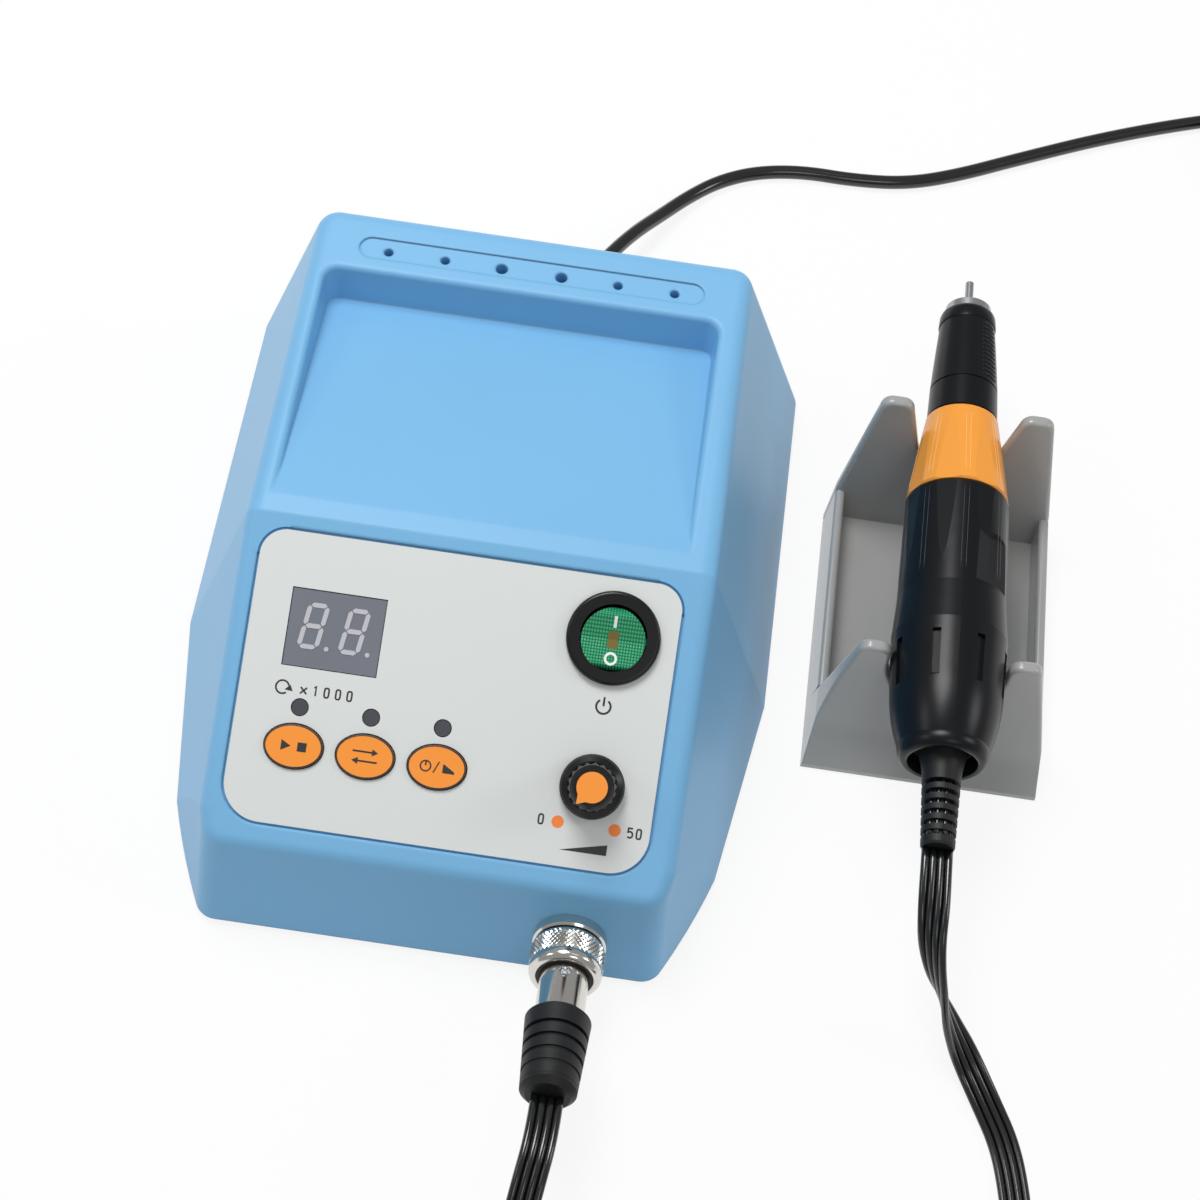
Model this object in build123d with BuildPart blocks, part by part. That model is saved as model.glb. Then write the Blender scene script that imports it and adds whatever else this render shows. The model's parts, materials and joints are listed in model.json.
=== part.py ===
from build123d import *
import os
from math import acos, atan, atan2, cos, degrees, pi, radians, sin, sqrt, tan

# A bench control unit for a dental micromotor, with its handpiece lying in a cradle beside it.
# Millimetres, +Z up, +Y towards the back. The origin is on the bench, under the middle of the set.

os.makedirs("parts", exist_ok=True)

# ---------------------------------------------------------------- driving dimensions
# The moulded shell, measured from its front bottom edge and its middle line.
deck_half = 57.2           # half width of the deck and of the sloping panel
base_half = 77.8           # half width at the bottom edge
front_inset = 0.2          # the front wall's foot is this much narrower than the deck, on each side
front_lean_inset = 3.2     # the same for the front wall carried up to the height of the deck
deck_z = 64.0
front_top_y = 9.2          # the fold between front wall and panel
front_top_z = 28.7
fold_y = 81.8              # the fold between panel and deck
rear_top_y = 177.6
rear_base_y = 187.2
side_start_y = 85.0        # from here back, the bottom edge runs straight
skirt_overlap = 8.0        # how far the skirt's plan reaches past the front and rear walls
wall = 2.5
corner_radius = 6.0
edge_radius = 4.5
inner_corner_radius = 3.5
foot_gap = 2.0

# The tray in the deck.
face_x = -1.2              # the mouldings on the top sit this far from the middle line
tray_side = 5.2            # the deck left beside the tray
tray_foot_y = 87.0
tray_rear_y = 156.7
tray_depth = 10.5
tray_draft = 5.0
tray_corner = 3.0
tray_rim_radius = 1.5

# The row of sockets for burs behind the tray.
strip_half = 45.7
strip_width = 6.8
strip_y = 165.9
strip_depth = 0.5
bur_pitch = 15.0
bur_offset = 7.9           # from the middle line to the first socket on each side
bur_y = 165.4
thin_bur_bore = 2.5
thick_bur_bore = 3.2
bur_depth = 24.0           # the deepest; each next one is a step shallower, so burs stand in a slanting row
bur_depth_step = 1.0
bur_chamfer = 0.2
bur_boss_width = 13.0

# The label and what comes through it; u runs across the panel and v up it from the front fold.
label_half = 51.8
label_bottom = 5.7
label_top = 76.7
label_low_radius = 9.5
label_high_radius = 6.5
label_thickness = 0.8
label_sink = 0.2
pocket_gap = 0.6

window_u = -32.05
window_v = 53.6
window_width = 22.9
window_height = 18.8
digit_height = 11.4
digit_width = 5.4
digit_pitch = 10.05
segment_width = 1.15
segment_gap = 0.16
segment_rise = 0.15
digit_slant = 8.0
display_sink = 0.3         # below the label's face

key_u = (-37.6, -20.15, -2.64)
key_v = 24.9
key_length = 14.3
key_width = 10.7
key_gap = 0.3
key_rise = 0.7
key_travel = 0.5
key_flange = 1.1
key_flange_thickness = 1.2
key_stem = 5.0
led_v = 34.4
led_diameter = 4.0
led_gap = 0.2
led_sink = 0.2

switch_u = 35.0
switch_v = 61.9
switch_flange = 23.0
switch_flange_thickness = 1.9
switch_barrel = 19.8
switch_opening = 16.4
switch_depth = 16.0
rocker_diameter = 15.6
rocker_tilt = 7.0
rocker_pivot_depth = 2.2
rocker_pin = 2.4
switch_lamp_diameter = 4.4
switch_lamp_height = 5.0
pin_fit = 0.06

knob_u = 35.1
knob_v = 25.7
knob_skirt = 15.75
knob_grip = 11.6
knob_height = 13.5
knob_skirt_height = 4.2
knob_gap = 0.4
knob_flutes = 18
pointer_angle = 233.6      # from +u, the pointer at rest at the foot of the scale
pointer_radius = 3.7
pointer_reach = 5.4
pointer_rise = 0.9
pot_diameter = 16.0
pot_depth = 8.0
bushing_diameter = 7.0
shaft_diameter = 6.0
shaft_fit = 0.05
nut_height = 2.0
nut_across = 10.0

# The board behind the panel.
board_left = -51.0
board_right = 9.0
board_low = 12.0
board_high = 68.0
board_depth = 11.5         # from the panel's face to the board's upper side
board_thickness = 1.6
board_boss = 6.4
board_boss_inset = 3.6
tact_side = 6.0
tact_height = 3.5

# The bottom plate, its screws and feet.
plate_thickness = 2.0
plate_gap = 0.6
plate_z = 0.6
boss_diameter = 8.0
screw_diameter = 3.0
screw_head = 5.6
screw_head_height = 1.2
screw_length = 12.0
screw_clearance = 0.15
pilot_diameter = 3.2
foot_diameter = 12.0
foot_front_x, foot_front_y = 50.0, 31.0
foot_rear_x, foot_rear_y = 60.0, 169.0

# The socket for the motor cord in the front wall, and the plug in it.
plug_u = 35.2
plug_v = 13.0
socket_flange = 18.2
socket_flange_thickness = 3.0
socket_body = 12.0
socket_collar = 15.0
socket_collar_end = 9.0
socket_inside = 13.0
socket_fit = 0.2
socket_nut_across = 17.0
contact_circle = 6.0
contact_count = 4
contact_diameter = 1.4
contact_length = 4.0
ring_diameter = 17.7
ring_end = 12.4
ring_gap = 0.4
ring_fit = 0.12
barrel_diameter = 12.0
barrel_end = 25.0
boot_diameter = 16.0
boot_end = 47.0
boot_ribs = 5

# The mains inlet in the rear wall.
inlet_x = 7.0
inlet_z = 12.0
bush_flange = 12.0
bush_neck = 8.0
bush_flange_thickness = 2.0
bush_length = 20.0
bush_tip_diameter = 6.0
mains_diameter = 4.2

# The transformer on the bottom plate.
core_x = 8.0
core_y = 124.0
core_width = 60.0
core_height = 44.0
core_stack = 26.0
core_limb = 10.0
winding_gap = 0.5
winding_reach = 12.0

# The cradle.
cradle_x = 120.4
cradle_half = 31.4         # half width on the bench
cradle_rim_half = 29.9     # half width at the top of the side walls
cradle_front_y = 66.8
cradle_rear_y = 147.6
cradle_floor = 3.0
cradle_foot = 1.8          # the upright edge at the foot of the front
cradle_wall = 2.6
cradle_side_height = 13.0
cradle_round = 1.1
end_wall = 3.4
front_wall_y = 81.4
front_ear_z = 42.0
rear_ear_z = 47.0
rear_lean = 12.0
ear_x = 19.0
ear_radius = 3.9
notch_clearance = 0.35
notch_drop = 12.0          # from the handpiece's axis down to the height where its notch is sized

# The handpiece: its axis lies along Y over the cradle's middle line; stations are along it.
hand_x = 120.4
hand_z = 36.0
shank_tip_y = 207.5
nose_y = 198.0
sleeve_y = 195.0
sleeve_step_y = 171.0
collar_top_y = 159.0
collar_bottom_y = 132.0
joint_y = 101.0
bell_y = 89.6
bell_end_y = 55.5
relief_y = 32.0
shank_diameter = 2.35
collet_diameter = 7.0
nose_diameter = 12.7
sleeve_front_diameter = 14.6
sleeve_diameter = 18.3
collar_top_diameter = 19.4
collar_bottom_diameter = 27.3
joint_diameter = 28.2
bell_diameter = 29.8
bell_waist_y = 74.0
bell_waist_diameter = 28.7
bell_end_diameter = 21.0
relief_diameter = 9.1
hand_wall = 1.9
hand_gap = 0.3
flat_count = 8
flat_depth = 0.3
facet_angle = 38.0         # from straight up towards +X
facet_depth = 1.2
facet_top_y = 117.0
slot_count = 8
vent_start_y = 86.0
vent_end_y = 73.0
vent_depth = 1.1
vent_width = 2.2
recess_depth = 4.0         # the round hollow in the bell's end, where the relief's foot sits
recess_gap = 0.8
bell_rim = 1.7
bell_end_round = 0.9
relief_flare_radius = 7.0
relief_neck = 5.5
relief_taper = 0.3
relief_tip = 1.6
relief_plug = 4.0
relief_gap = 1.3
relief_groove = 1.2
running_fit = 0.05
shrink_fit = 0.02
carrier_start = 78.0       # the brushes' holder starts here and ends at the motor's can
carrier_shoulder = 3.0
can_start = 84.0
commutator_diameter = 10.0
commutator_length = 5.6
brush_width = 4.0
brush_length = 4.4
brush_rim = 1.6
spindle_diameter = 5.0
bearing_diameter = 13.0
bearing_width = 5.0
motor_bore = 18.0
rotor_gap = 0.6
relief_segments = 6

# The cords' routes, in the part's own frame. The flat motor cord has four strands; its tube has the
# section of the four together.
strand_diameter = 2.0
motor_cord_diameter = 2 * strand_diameter
hand_cord_route = [
    (83.4, -68.33, 36.0), (83.4, -80.4, 36.0), (84.5, -93.7, 29.0), (92.0, -101.9, 14.0),
    (98.9, -108.4, 4.5), (104.9, -117.9, 2.0), (110.2, -127.9, 2.0), (113.0, -139.9, 2.0),
    (114.7, -153.4, 2.0), (115.2, -168.4, 2.0), (114.8, -186.4, 2.0), (114.0, -204.3, 2.0),
]
socket_cord_route = [
    (-1.8, -141.13, 28.73), (-1.8, -151.1, 31.9), (-3.4, -162.9, 30.5), (-4.8, -174.2, 24.0),
    (-5.4, -184.4, 13.5), (-5.0, -194.9, 5.0), (-3.1, -207.4, 2.0), (3.4, -220.4, 2.0),
    (13.4, -231.9, 2.2), (26.9, -240.4, 4.2), (42.4, -245.2, 8.0), (58.4, -247.2, 11.8),
    (72.0, -246.3, 13.1),
]
mains_route = [
    (-25.8, 104.0, 14.3), (-20.8, 114.8, 12.9), (-13.5, 129.2, 9.5), (-6.0, 141.2, 5.4),
    (1.5, 152.0, 2.9), (10.2, 160.6, 2.1), (21.4, 166.4, 2.1), (35.5, 169.2, 2.1),
    (51.6, 168.8, 2.1), (67.9, 170.6, 2.1), (83.4, 176.8, 2.1), (102.4, 187.1, 2.1),
    (129.4, 201.1, 2.1), (157.4, 213.1, 2.1), (181.4, 221.2, 2.1), (203.0, 223.2, 2.1),
]
mains_tail_route = [
    (226.5, 199.7, 14.7), (226.3, 186.6, 13.4), (225.4, 174.1, 9.6), (224.8, 162.6, 7.0),
    (224.8, 151.6, 7.0),
]
motor_coil_x, motor_coil_y = 72.0, -204.3
motor_coil_inside, motor_coil_outside, motor_coil_height = 36.5, 47.5, 14.6
mains_coil_x, mains_coil_y = 203.0, 199.7
mains_coil_inside, mains_coil_outside, mains_coil_height = 19.2, 27.8, 16.8
mains_plug_width, mains_plug_height, mains_plug_length = 25.0, 14.0, 34.0
plug_relief_length = 14.0
plug_pin_diameter, plug_pin_length, plug_pin_pitch = 4.0, 19.0, 18.6

# ---------------------------------------------------------------- where things are
tray_half = deck_half - tray_side
front_half = deck_half - front_inset
front_lean_half = deck_half - front_lean_inset
front_lean = degrees(atan(front_top_y / front_top_z))
panel_slope = degrees(atan((deck_z - front_top_z) / (fold_y - front_top_y)))
rear_lean_angle = degrees(atan((rear_base_y - rear_top_y) / deck_z))
flare = (base_half - deck_half) / deck_z
panel_rise = tan(radians(panel_slope))
plug_y = plug_v * sin(radians(front_lean))
socket_front_y = (plug_y - socket_collar_end * cos(radians(front_lean))
                  - socket_collar / 2 * sin(radians(front_lean)))

unit_x = -(cradle_x + cradle_half - base_half) / 2
unit_y = -(shank_tip_y + socket_front_y) / 2

unit = Plane(origin=(unit_x, unit_y, foot_gap))
unit_side = Plane(origin=unit.origin, x_dir=(0, 1, 0), z_dir=(1, 0, 0))
deck = Plane(origin=unit.from_local_coords((face_x, 0, deck_z)))
panel = Plane(
    origin=unit.from_local_coords((0, front_top_y, front_top_z)),
    x_dir=(1, 0, 0),
    z_dir=(0, -sin(radians(panel_slope)), cos(radians(panel_slope))),
)
front = Plane(
    origin=unit.origin,
    x_dir=(1, 0, 0),
    z_dir=(0, -cos(radians(front_lean)), sin(radians(front_lean))),
)
rear = Plane(
    origin=unit.from_local_coords((0, rear_base_y, 0)),
    x_dir=(-1, 0, 0),
    z_dir=(0, cos(radians(rear_lean_angle)), sin(radians(rear_lean_angle))),
)
tray_angle = degrees(atan(tray_depth / (tray_rear_y - tray_foot_y)))
tray_floor = Plane(
    origin=deck.from_local_coords((0, tray_foot_y, 0)),
    x_dir=(1, 0, 0),
    z_dir=(0, sin(radians(tray_angle)), cos(radians(tray_angle))),
)
bench = Plane(origin=(unit_x + cradle_x, unit_y, 0))
bench_side = Plane(origin=bench.origin, x_dir=(0, 1, 0), z_dir=(1, 0, 0))
hand_side = Plane(origin=(unit_x + hand_x, unit_y, hand_z), x_dir=(0, 1, 0), z_dir=(1, 0, 0))
hand_axis = Axis(hand_side.origin, (0, 1, 0))


def across(station):
    """The plane square to the handpiece's axis at a station, its normal towards the shank."""
    return Plane(origin=hand_side.from_local_coords((station, 0, 0)), x_dir=(1, 0, 0), z_dir=(0, 1, 0))


hand_profile = [
    (bell_end_y, bell_end_diameter / 2),
    (bell_end_y + 3.5, bell_end_diameter / 2 + 0.8),
    (bell_waist_y, bell_waist_diameter / 2),
    (bell_y, bell_diameter / 2),
    (joint_y, joint_diameter / 2),
    (collar_bottom_y, collar_bottom_diameter / 2),
    (collar_top_y, collar_top_diameter / 2),
    (sleeve_step_y, sleeve_diameter / 2),
    (sleeve_y, sleeve_front_diameter / 2),
]


def radius_at(station):
    """The handpiece's outer radius at a station."""
    for (y0, r0), (y1, r1) in zip(hand_profile, hand_profile[1:]):
        if y0 <= station <= y1:
            return r0 + (r1 - r0) * (station - y0) / (y1 - y0)
    raise ValueError("no such station on the handpiece")


def closed(*points):
    """A face through the points, in the sketch at work."""
    Polygon(*points, align=None)


# ---------------------------------------------------------------- the shell's form
def wedge(inset, bottom):
    """The side view of the shell, cut by the planes of its flared sides."""
    front_run = front_top_y / front_top_z
    rear_run = (rear_base_y - rear_top_y) / deck_z
    with BuildPart() as block:
        with BuildSketch(unit_side):
            closed(
                (bottom * front_run, bottom),
                (front_top_y, front_top_z),
                (fold_y, deck_z),
                (rear_top_y, deck_z),
                (rear_base_y - bottom * rear_run, bottom),
            )
            if inset:
                offset(amount=-inset, kind=Kind.INTERSECTION)
        extrude(amount=base_half + deck_half, both=True)
        for side in (-1, 1):
            edge = unit.from_local_coords((side * deck_half, fold_y, deck_z))
            for normal in (Vector(side, 0, flare), Vector(side, -flare * panel_rise, flare)):
                outward = normal.normalized()
                split(bisect_by=Plane(origin=edge - outward * inset, z_dir=outward), keep=Keep.BOTTOM)
    return block.part


def skirt_half(z):
    """Half width of the curved skirt at a height, a little outside the flare's planes."""
    return base_half + 0.5 - z * flare


def skirt_front_half(z):
    """Half width of the front wall at a height."""
    return front_half - z * (front_half - front_lean_half) / deck_z


def skirt(inset, bottom, top):
    """The curved plan of the shell, lofted from one height to another."""
    with BuildPart() as form:
        for z in (bottom, top):
            half = skirt_half(z) - inset
            corner = (skirt_front_half(z) - inset, front_top_y / front_top_z * z)
            tip = (corner[0] - skirt_overlap, -1.5 * skirt_overlap)
            back = rear_base_y + skirt_overlap
            with BuildSketch(unit.offset(z)):
                with BuildLine():
                    TangentArc((half, side_start_y), corner, tangent=(0, -1))
                    Line(corner, tip)
                    Line(tip, (-tip[0], tip[1]))
                    Line((-tip[0], tip[1]), (-corner[0], corner[1]))
                    TangentArc((-half, side_start_y), (-corner[0], corner[1]), tangent=(0, -1))
                    Line((-half, side_start_y), (-half, back))
                    Line((-half, back), (half, back))
                    Line((half, back), (half, side_start_y))
                make_face()
        loft(ruled=True)
    return form.part


def edges_near(part, spots, reach):
    """Edges whose middle lies within reach of one of the spots, which are in the shell's frame."""
    chosen = []
    for edge in part.edges():
        middle = unit.to_local_coords(edge.position_at(0.5))
        if any((middle - Vector(*spot)).length < reach for spot in spots):
            chosen.append(edge)
    return chosen


def top_edges(part):
    """The edges round the deck and the panel, without the fold between them."""
    chosen = []
    for edge in part.edges():
        middle = unit.to_local_coords(edge.position_at(0.5))
        top = deck_z if middle.Y > fold_y - 0.01 else front_top_z + (middle.Y - front_top_y) * panel_rise
        on_fold = abs(middle.Y - fold_y) < 0.5 and abs(middle.X) < 1
        if abs(middle.Z - top) < 0.4 and not on_fold:
            chosen.append(edge)
    return chosen


front_corners = [(s * (front_half - 0.6), front_top_y / 2, front_top_z / 2) for s in (-1, 1)]
rear_corners = [
    (s * (deck_half + base_half) / 2, (rear_top_y + rear_base_y) / 2, deck_z / 2) for s in (-1, 1)
]
plan_wall = wall * sqrt(1 + flare**2)

outer_wedge = wedge(0, 0)
outer_skirt = skirt(0, -1, deck_z + 2)
with BuildPart() as outer_form:
    add(outer_wedge)
    add(outer_skirt, mode=Mode.INTERSECT)
    fillet(edges_near(outer_form.part, front_corners, 6), radius=corner_radius)
    fillet(edges_near(outer_form.part, rear_corners, 3), radius=corner_radius)
    fillet(top_edges(outer_form.part), radius=edge_radius)


def tray_sketch(grow):
    """The tray's floor: straight in front, round at its two rear corners."""
    reach = (tray_rear_y - tray_foot_y) / cos(radians(tray_angle)) - tray_depth * tan(radians(tray_draft))
    half = tray_half - tray_depth * tan(radians(tray_draft)) + grow
    with Locations((0, (reach + grow - 10) / 2)):
        floor = Rectangle(2 * half, reach + grow + 10)
    fillet(floor.vertices().group_by(Axis.Y)[-1], radius=tray_corner + grow)


board_bosses = [
    (u, v)
    for u in (board_left + board_boss_inset, board_right - board_boss_inset)
    for v in (board_low + board_boss_inset, board_high - board_boss_inset)
]
base_bosses = [(-50, 17), (50, 17), (-62, 172), (62, 172)]
boss_foot = plate_z + plate_thickness

inner_wedge = wedge(wall, -12)
inner_skirt = skirt(plan_wall, -2, deck_z + 2)
with BuildPart() as cavity:
    add(inner_wedge)
    add(inner_skirt, mode=Mode.INTERSECT)
    # the tub of the tray hangs into the shell
    with BuildSketch(tray_floor.offset(-wall)):
        tray_sketch(wall)
    extrude(amount=tray_depth + wall + 6, taper=-tray_draft, mode=Mode.SUBTRACT)
    # the block with the sockets for burs
    with BuildSketch(deck.offset(-bur_depth - wall)):
        with Locations((0, bur_y)):
            Rectangle(2 * strip_half, bur_boss_width)
    extrude(amount=bur_depth + wall, mode=Mode.SUBTRACT)
    # posts for the board, square to the panel
    with BuildSketch(panel.offset(-board_depth)):
        with Locations(*board_bosses):
            Circle(board_boss / 2)
    extrude(amount=board_depth, mode=Mode.SUBTRACT)
    # posts for the bottom plate
    with BuildSketch(unit.offset(boss_foot)):
        with Locations(*base_bosses):
            Circle(boss_diameter / 2)
    extrude(amount=deck_z, mode=Mode.SUBTRACT)


def label_outline(grow):
    """The label's outline on the panel, its two lower corners rounder than the upper ones."""
    width = 2 * (label_half + grow)
    height = label_top - label_bottom + 2 * grow
    with Locations((face_x, (label_top + label_bottom) / 2)):
        sheet = Rectangle(width, height)
    low = sheet.vertices().group_by(Axis.Y)[0]
    high = sheet.vertices().group_by(Axis.Y)[-1]
    fillet(low, radius=label_low_radius + grow)
    fillet(high, radius=label_high_radius + grow)


def window_outline(grow):
    with Locations((window_u, window_v)):
        Rectangle(window_width + 2 * grow, window_height + 2 * grow)


def key_outlines(grow):
    for u in key_u:
        with Locations((u, key_v)):
            Ellipse(key_length / 2 + grow, key_width / 2 + grow)


def led_outlines(grow):
    with Locations(*[(u, led_v) for u in key_u]):
        Circle(led_diameter / 2 + grow)


def round_openings(switch_hole, pot_hole):
    with Locations((switch_u, switch_v)):
        Circle(switch_hole / 2)
    with Locations((knob_u, knob_v)):
        Circle(pot_hole / 2)


bur_places = [(-1, 2), (-1, 1), (-1, 0), (1, 0), (1, 1), (1, 2)]
bur_columns = [side * (bur_offset + n * bur_pitch) - face_x for side, n in bur_places]
bur_bores = [thin_bur_bore, thin_bur_bore, thick_bur_bore, thick_bur_bore, thin_bur_bore, thin_bur_bore]
bur_depths = [bur_depth - n * bur_depth_step for n in range(len(bur_columns))]
switch_hole = switch_barrel + 2 * screw_clearance
pot_hole = bushing_diameter + 2 * screw_clearance

with BuildPart() as housing:
    add(outer_form.part)
    add(cavity.part, mode=Mode.SUBTRACT)
    # the tray
    with BuildSketch(tray_floor):
        tray_sketch(0)
    extrude(amount=tray_depth + 6, taper=-tray_draft, mode=Mode.SUBTRACT)
    # the tray's rim, but for its front, where the floor comes up to the deck
    on_deck = housing.edges(Select.LAST).filter_by_position(Axis.Z, deck.origin.Z - 0.01, deck.origin.Z + 0.01)
    rim_start = tray_floor.origin.Y + tray_rim_radius
    fillet(on_deck.filter_by_position(Axis.Y, rim_start, rim_start + tray_rear_y), radius=tray_rim_radius)
    # the shallow strip round the bur sockets, and the sockets
    with BuildSketch(deck.offset(-strip_depth)):
        with Locations((-face_x, strip_y)):
            SlotOverall(2 * strip_half, strip_width)
    extrude(amount=strip_depth + 1, mode=Mode.SUBTRACT)
    for column, bore, depth in zip(bur_columns, bur_bores, bur_depths):
        with BuildSketch(deck.offset(-strip_depth)):
            with Locations((column, bur_y)):
                Circle(bore / 2)
        extrude(amount=-depth, mode=Mode.SUBTRACT)
        with BuildSketch(deck.offset(-strip_depth)):
            with Locations((column, bur_y)):
                Circle(bore / 2 + bur_chamfer)
        extrude(amount=-bur_chamfer, taper=45, mode=Mode.SUBTRACT)
    # the pocket for the label and the openings under it
    with BuildSketch(panel.offset(-label_sink - label_thickness)):
        label_outline(pocket_gap)
    extrude(amount=wall, mode=Mode.SUBTRACT)
    with BuildSketch(panel):
        window_outline(led_gap)
        key_outlines(key_gap)
        led_outlines(led_gap)
        round_openings(switch_hole, pot_hole)
    extrude(amount=-wall - 0.5, mode=Mode.SUBTRACT)
    # pilot holes for the board's screws
    with BuildSketch(panel.offset(-board_depth)):
        with Locations(*board_bosses):
            Circle(pilot_diameter / 2)
    extrude(amount=board_depth - wall, mode=Mode.SUBTRACT)
    # pilot holes for the bottom plate's screws
    with BuildSketch(unit.offset(boss_foot)):
        with Locations(*base_bosses):
            Circle(pilot_diameter / 2)
    extrude(amount=screw_length, mode=Mode.SUBTRACT)
    # the motor socket's hole and the mains inlet's hole
    with BuildSketch(front):
        with Locations((plug_u, plug_v)):
            Circle(socket_body / 2 + socket_fit)
    extrude(amount=-2 * wall, mode=Mode.SUBTRACT)
    with BuildSketch(rear):
        with Locations((-inlet_x, inlet_z / cos(radians(rear_lean_angle)))):
            Circle(bush_neck / 2 + socket_fit)
    extrude(amount=-2 * wall, mode=Mode.SUBTRACT)
housing.part.label = "housing"
export_step(housing.part, "parts/housing.step")


# ---------------------------------------------------------------- bottom plate, feet and screws
foot_spots = [(s * foot_front_x, foot_front_y) for s in (-1, 1)] + [(s * foot_rear_x, foot_rear_y) for s in (-1, 1)]
head_side_z = plate_z + screw_head_height

plate_wedge = wedge(wall + plate_gap, -12)
plate_skirt = skirt(plan_wall + plate_gap, -2, deck_z + 2)
with BuildPart() as base_plate:
    add(plate_wedge)
    add(plate_skirt, mode=Mode.INTERSECT)
    with BuildSketch(unit.offset(plate_z)):
        with Locations((0, rear_base_y / 2)):
            Rectangle(3 * base_half, 2 * rear_base_y)
    extrude(amount=plate_thickness, mode=Mode.INTERSECT)
    with BuildSketch(unit.offset(plate_z)):
        with Locations(*base_bosses):
            Circle(pilot_diameter / 2)
    extrude(amount=plate_thickness, mode=Mode.SUBTRACT)
    with BuildSketch(unit.offset(plate_z)):
        with Locations(*base_bosses):
            Circle(screw_head / 2 + screw_clearance)
    extrude(amount=screw_head_height, mode=Mode.SUBTRACT)
base_plate.part.label = "base_plate"
export_step(base_plate.part, "parts/base_plate.step")

with BuildPart() as base_screws:
    with BuildSketch(unit.offset(plate_z)):
        with Locations(*base_bosses):
            Circle(screw_head / 2)
    extrude(amount=screw_head_height)
    with BuildSketch(unit.offset(head_side_z)):
        with Locations(*base_bosses):
            Circle(screw_diameter / 2)
    extrude(amount=screw_length - screw_head_height)
base_screws.part.label = "base_screws"
export_step(base_screws.part, "parts/base_screws.step")

with BuildPart() as feet:
    with BuildSketch(unit.offset(-foot_gap)):
        with Locations(*foot_spots):
            Circle(foot_diameter / 2)
    extrude(amount=foot_gap + plate_z)
    chamfer(feet.faces().sort_by(Axis.Z)[: len(foot_spots)].edges(), length=0.6)
feet.part.label = "feet"
export_step(feet.part, "parts/feet.step")

# ---------------------------------------------------------------- the label and the board behind it
label_face = panel.offset(-label_sink)
with BuildPart() as panel_label:
    with BuildSketch(label_face):
        label_outline(0)
    extrude(amount=-label_thickness)
    with BuildSketch(label_face):
        window_outline(led_gap)
        key_outlines(key_gap)
        led_outlines(led_gap)
        round_openings(switch_hole, pot_hole)
    extrude(amount=-label_thickness, mode=Mode.SUBTRACT)
panel_label.part.label = "panel_label"
export_step(panel_label.part, "parts/panel_label.step")

board_face = panel.offset(-board_depth)
with BuildPart() as control_board:
    with BuildSketch(board_face):
        with Locations(((board_left + board_right) / 2, (board_low + board_high) / 2)):
            Rectangle(board_right - board_left, board_high - board_low)
        with Locations(*board_bosses):
            Circle(pilot_diameter / 2, mode=Mode.SUBTRACT)
    extrude(amount=-board_thickness)
control_board.part.label = "control_board"
export_step(control_board.part, "parts/control_board.step")

with BuildPart() as board_screws:
    with BuildSketch(board_face.offset(-board_thickness - screw_head_height)):
        with Locations(*board_bosses):
            Circle(screw_head / 2)
    extrude(amount=screw_head_height)
    with BuildSketch(board_face.offset(-board_thickness)):
        with Locations(*board_bosses):
            Circle(screw_diameter / 2)
    extrude(amount=board_thickness + board_depth / 2)
board_screws.part.label = "board_screws"
export_step(board_screws.part, "parts/board_screws.step")

display_face = label_face.offset(-display_sink)
with BuildPart() as display_module:
    with BuildSketch(board_face):
        window_outline(0)
    extrude(amount=board_depth - label_sink - display_sink)
display_module.part.label = "display_module"
export_step(display_module.part, "parts/display_module.step")

half_digit = digit_height / 2
half_width = digit_width / 2
half_bar = segment_width / 2
slant = tan(radians(digit_slant))
skeleton_w = half_width - half_bar
skeleton_h = half_digit - half_bar


def bar(start, end, centre):
    """One bar of a digit between two corners of its skeleton, pointed at both ends and slanted."""
    along = Vector(end[0] - start[0], end[1] - start[1]).normalized()
    side = Vector(-along.Y, along.X) * half_bar
    first = Vector(*start) + along * segment_gap
    last = Vector(*end) - along * segment_gap
    tip = along * half_bar
    corners = [first, first + tip + side, last - tip + side, last, last - tip - side, first + tip - side]
    Polygon(*[(centre[0] + c.X + slant * c.Y, centre[1] + c.Y) for c in corners], align=None)


with BuildPart() as display_segments:
    with BuildSketch(display_face):
        for place in (-1, 1):
            digit = (window_u - 0.3 + place * digit_pitch / 2, window_v + 0.7)
            rows = (-skeleton_h, 0, skeleton_h)
            for level in rows:
                bar((-skeleton_w, level), (skeleton_w, level), digit)
            for column in (-skeleton_w, skeleton_w):
                bar((column, rows[0]), (column, rows[1]), digit)
                bar((column, rows[1]), (column, rows[2]), digit)
            with Locations((digit[0] + half_width + 1.2, digit[1] - skeleton_h)):
                Circle(half_bar)
    extrude(amount=segment_rise)
display_segments.part.label = "display_segments"
export_step(display_segments.part, "parts/display_segments.step")

with BuildPart() as indicator_leds:
    with BuildSketch(board_face):
        led_outlines(0)
    extrude(amount=board_depth - label_sink - led_sink)
indicator_leds.part.label = "indicator_leds"
export_step(indicator_leds.part, "parts/indicator_leds.step")

with BuildPart() as tact_switches:
    with BuildSketch(board_face):
        with Locations(*[(u, key_v) for u in key_u]):
            Rectangle(tact_side, tact_side)
    extrude(amount=tact_height)
tact_switches.part.label = "tact_switches"
export_step(tact_switches.part, "parts/tact_switches.step")

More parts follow.
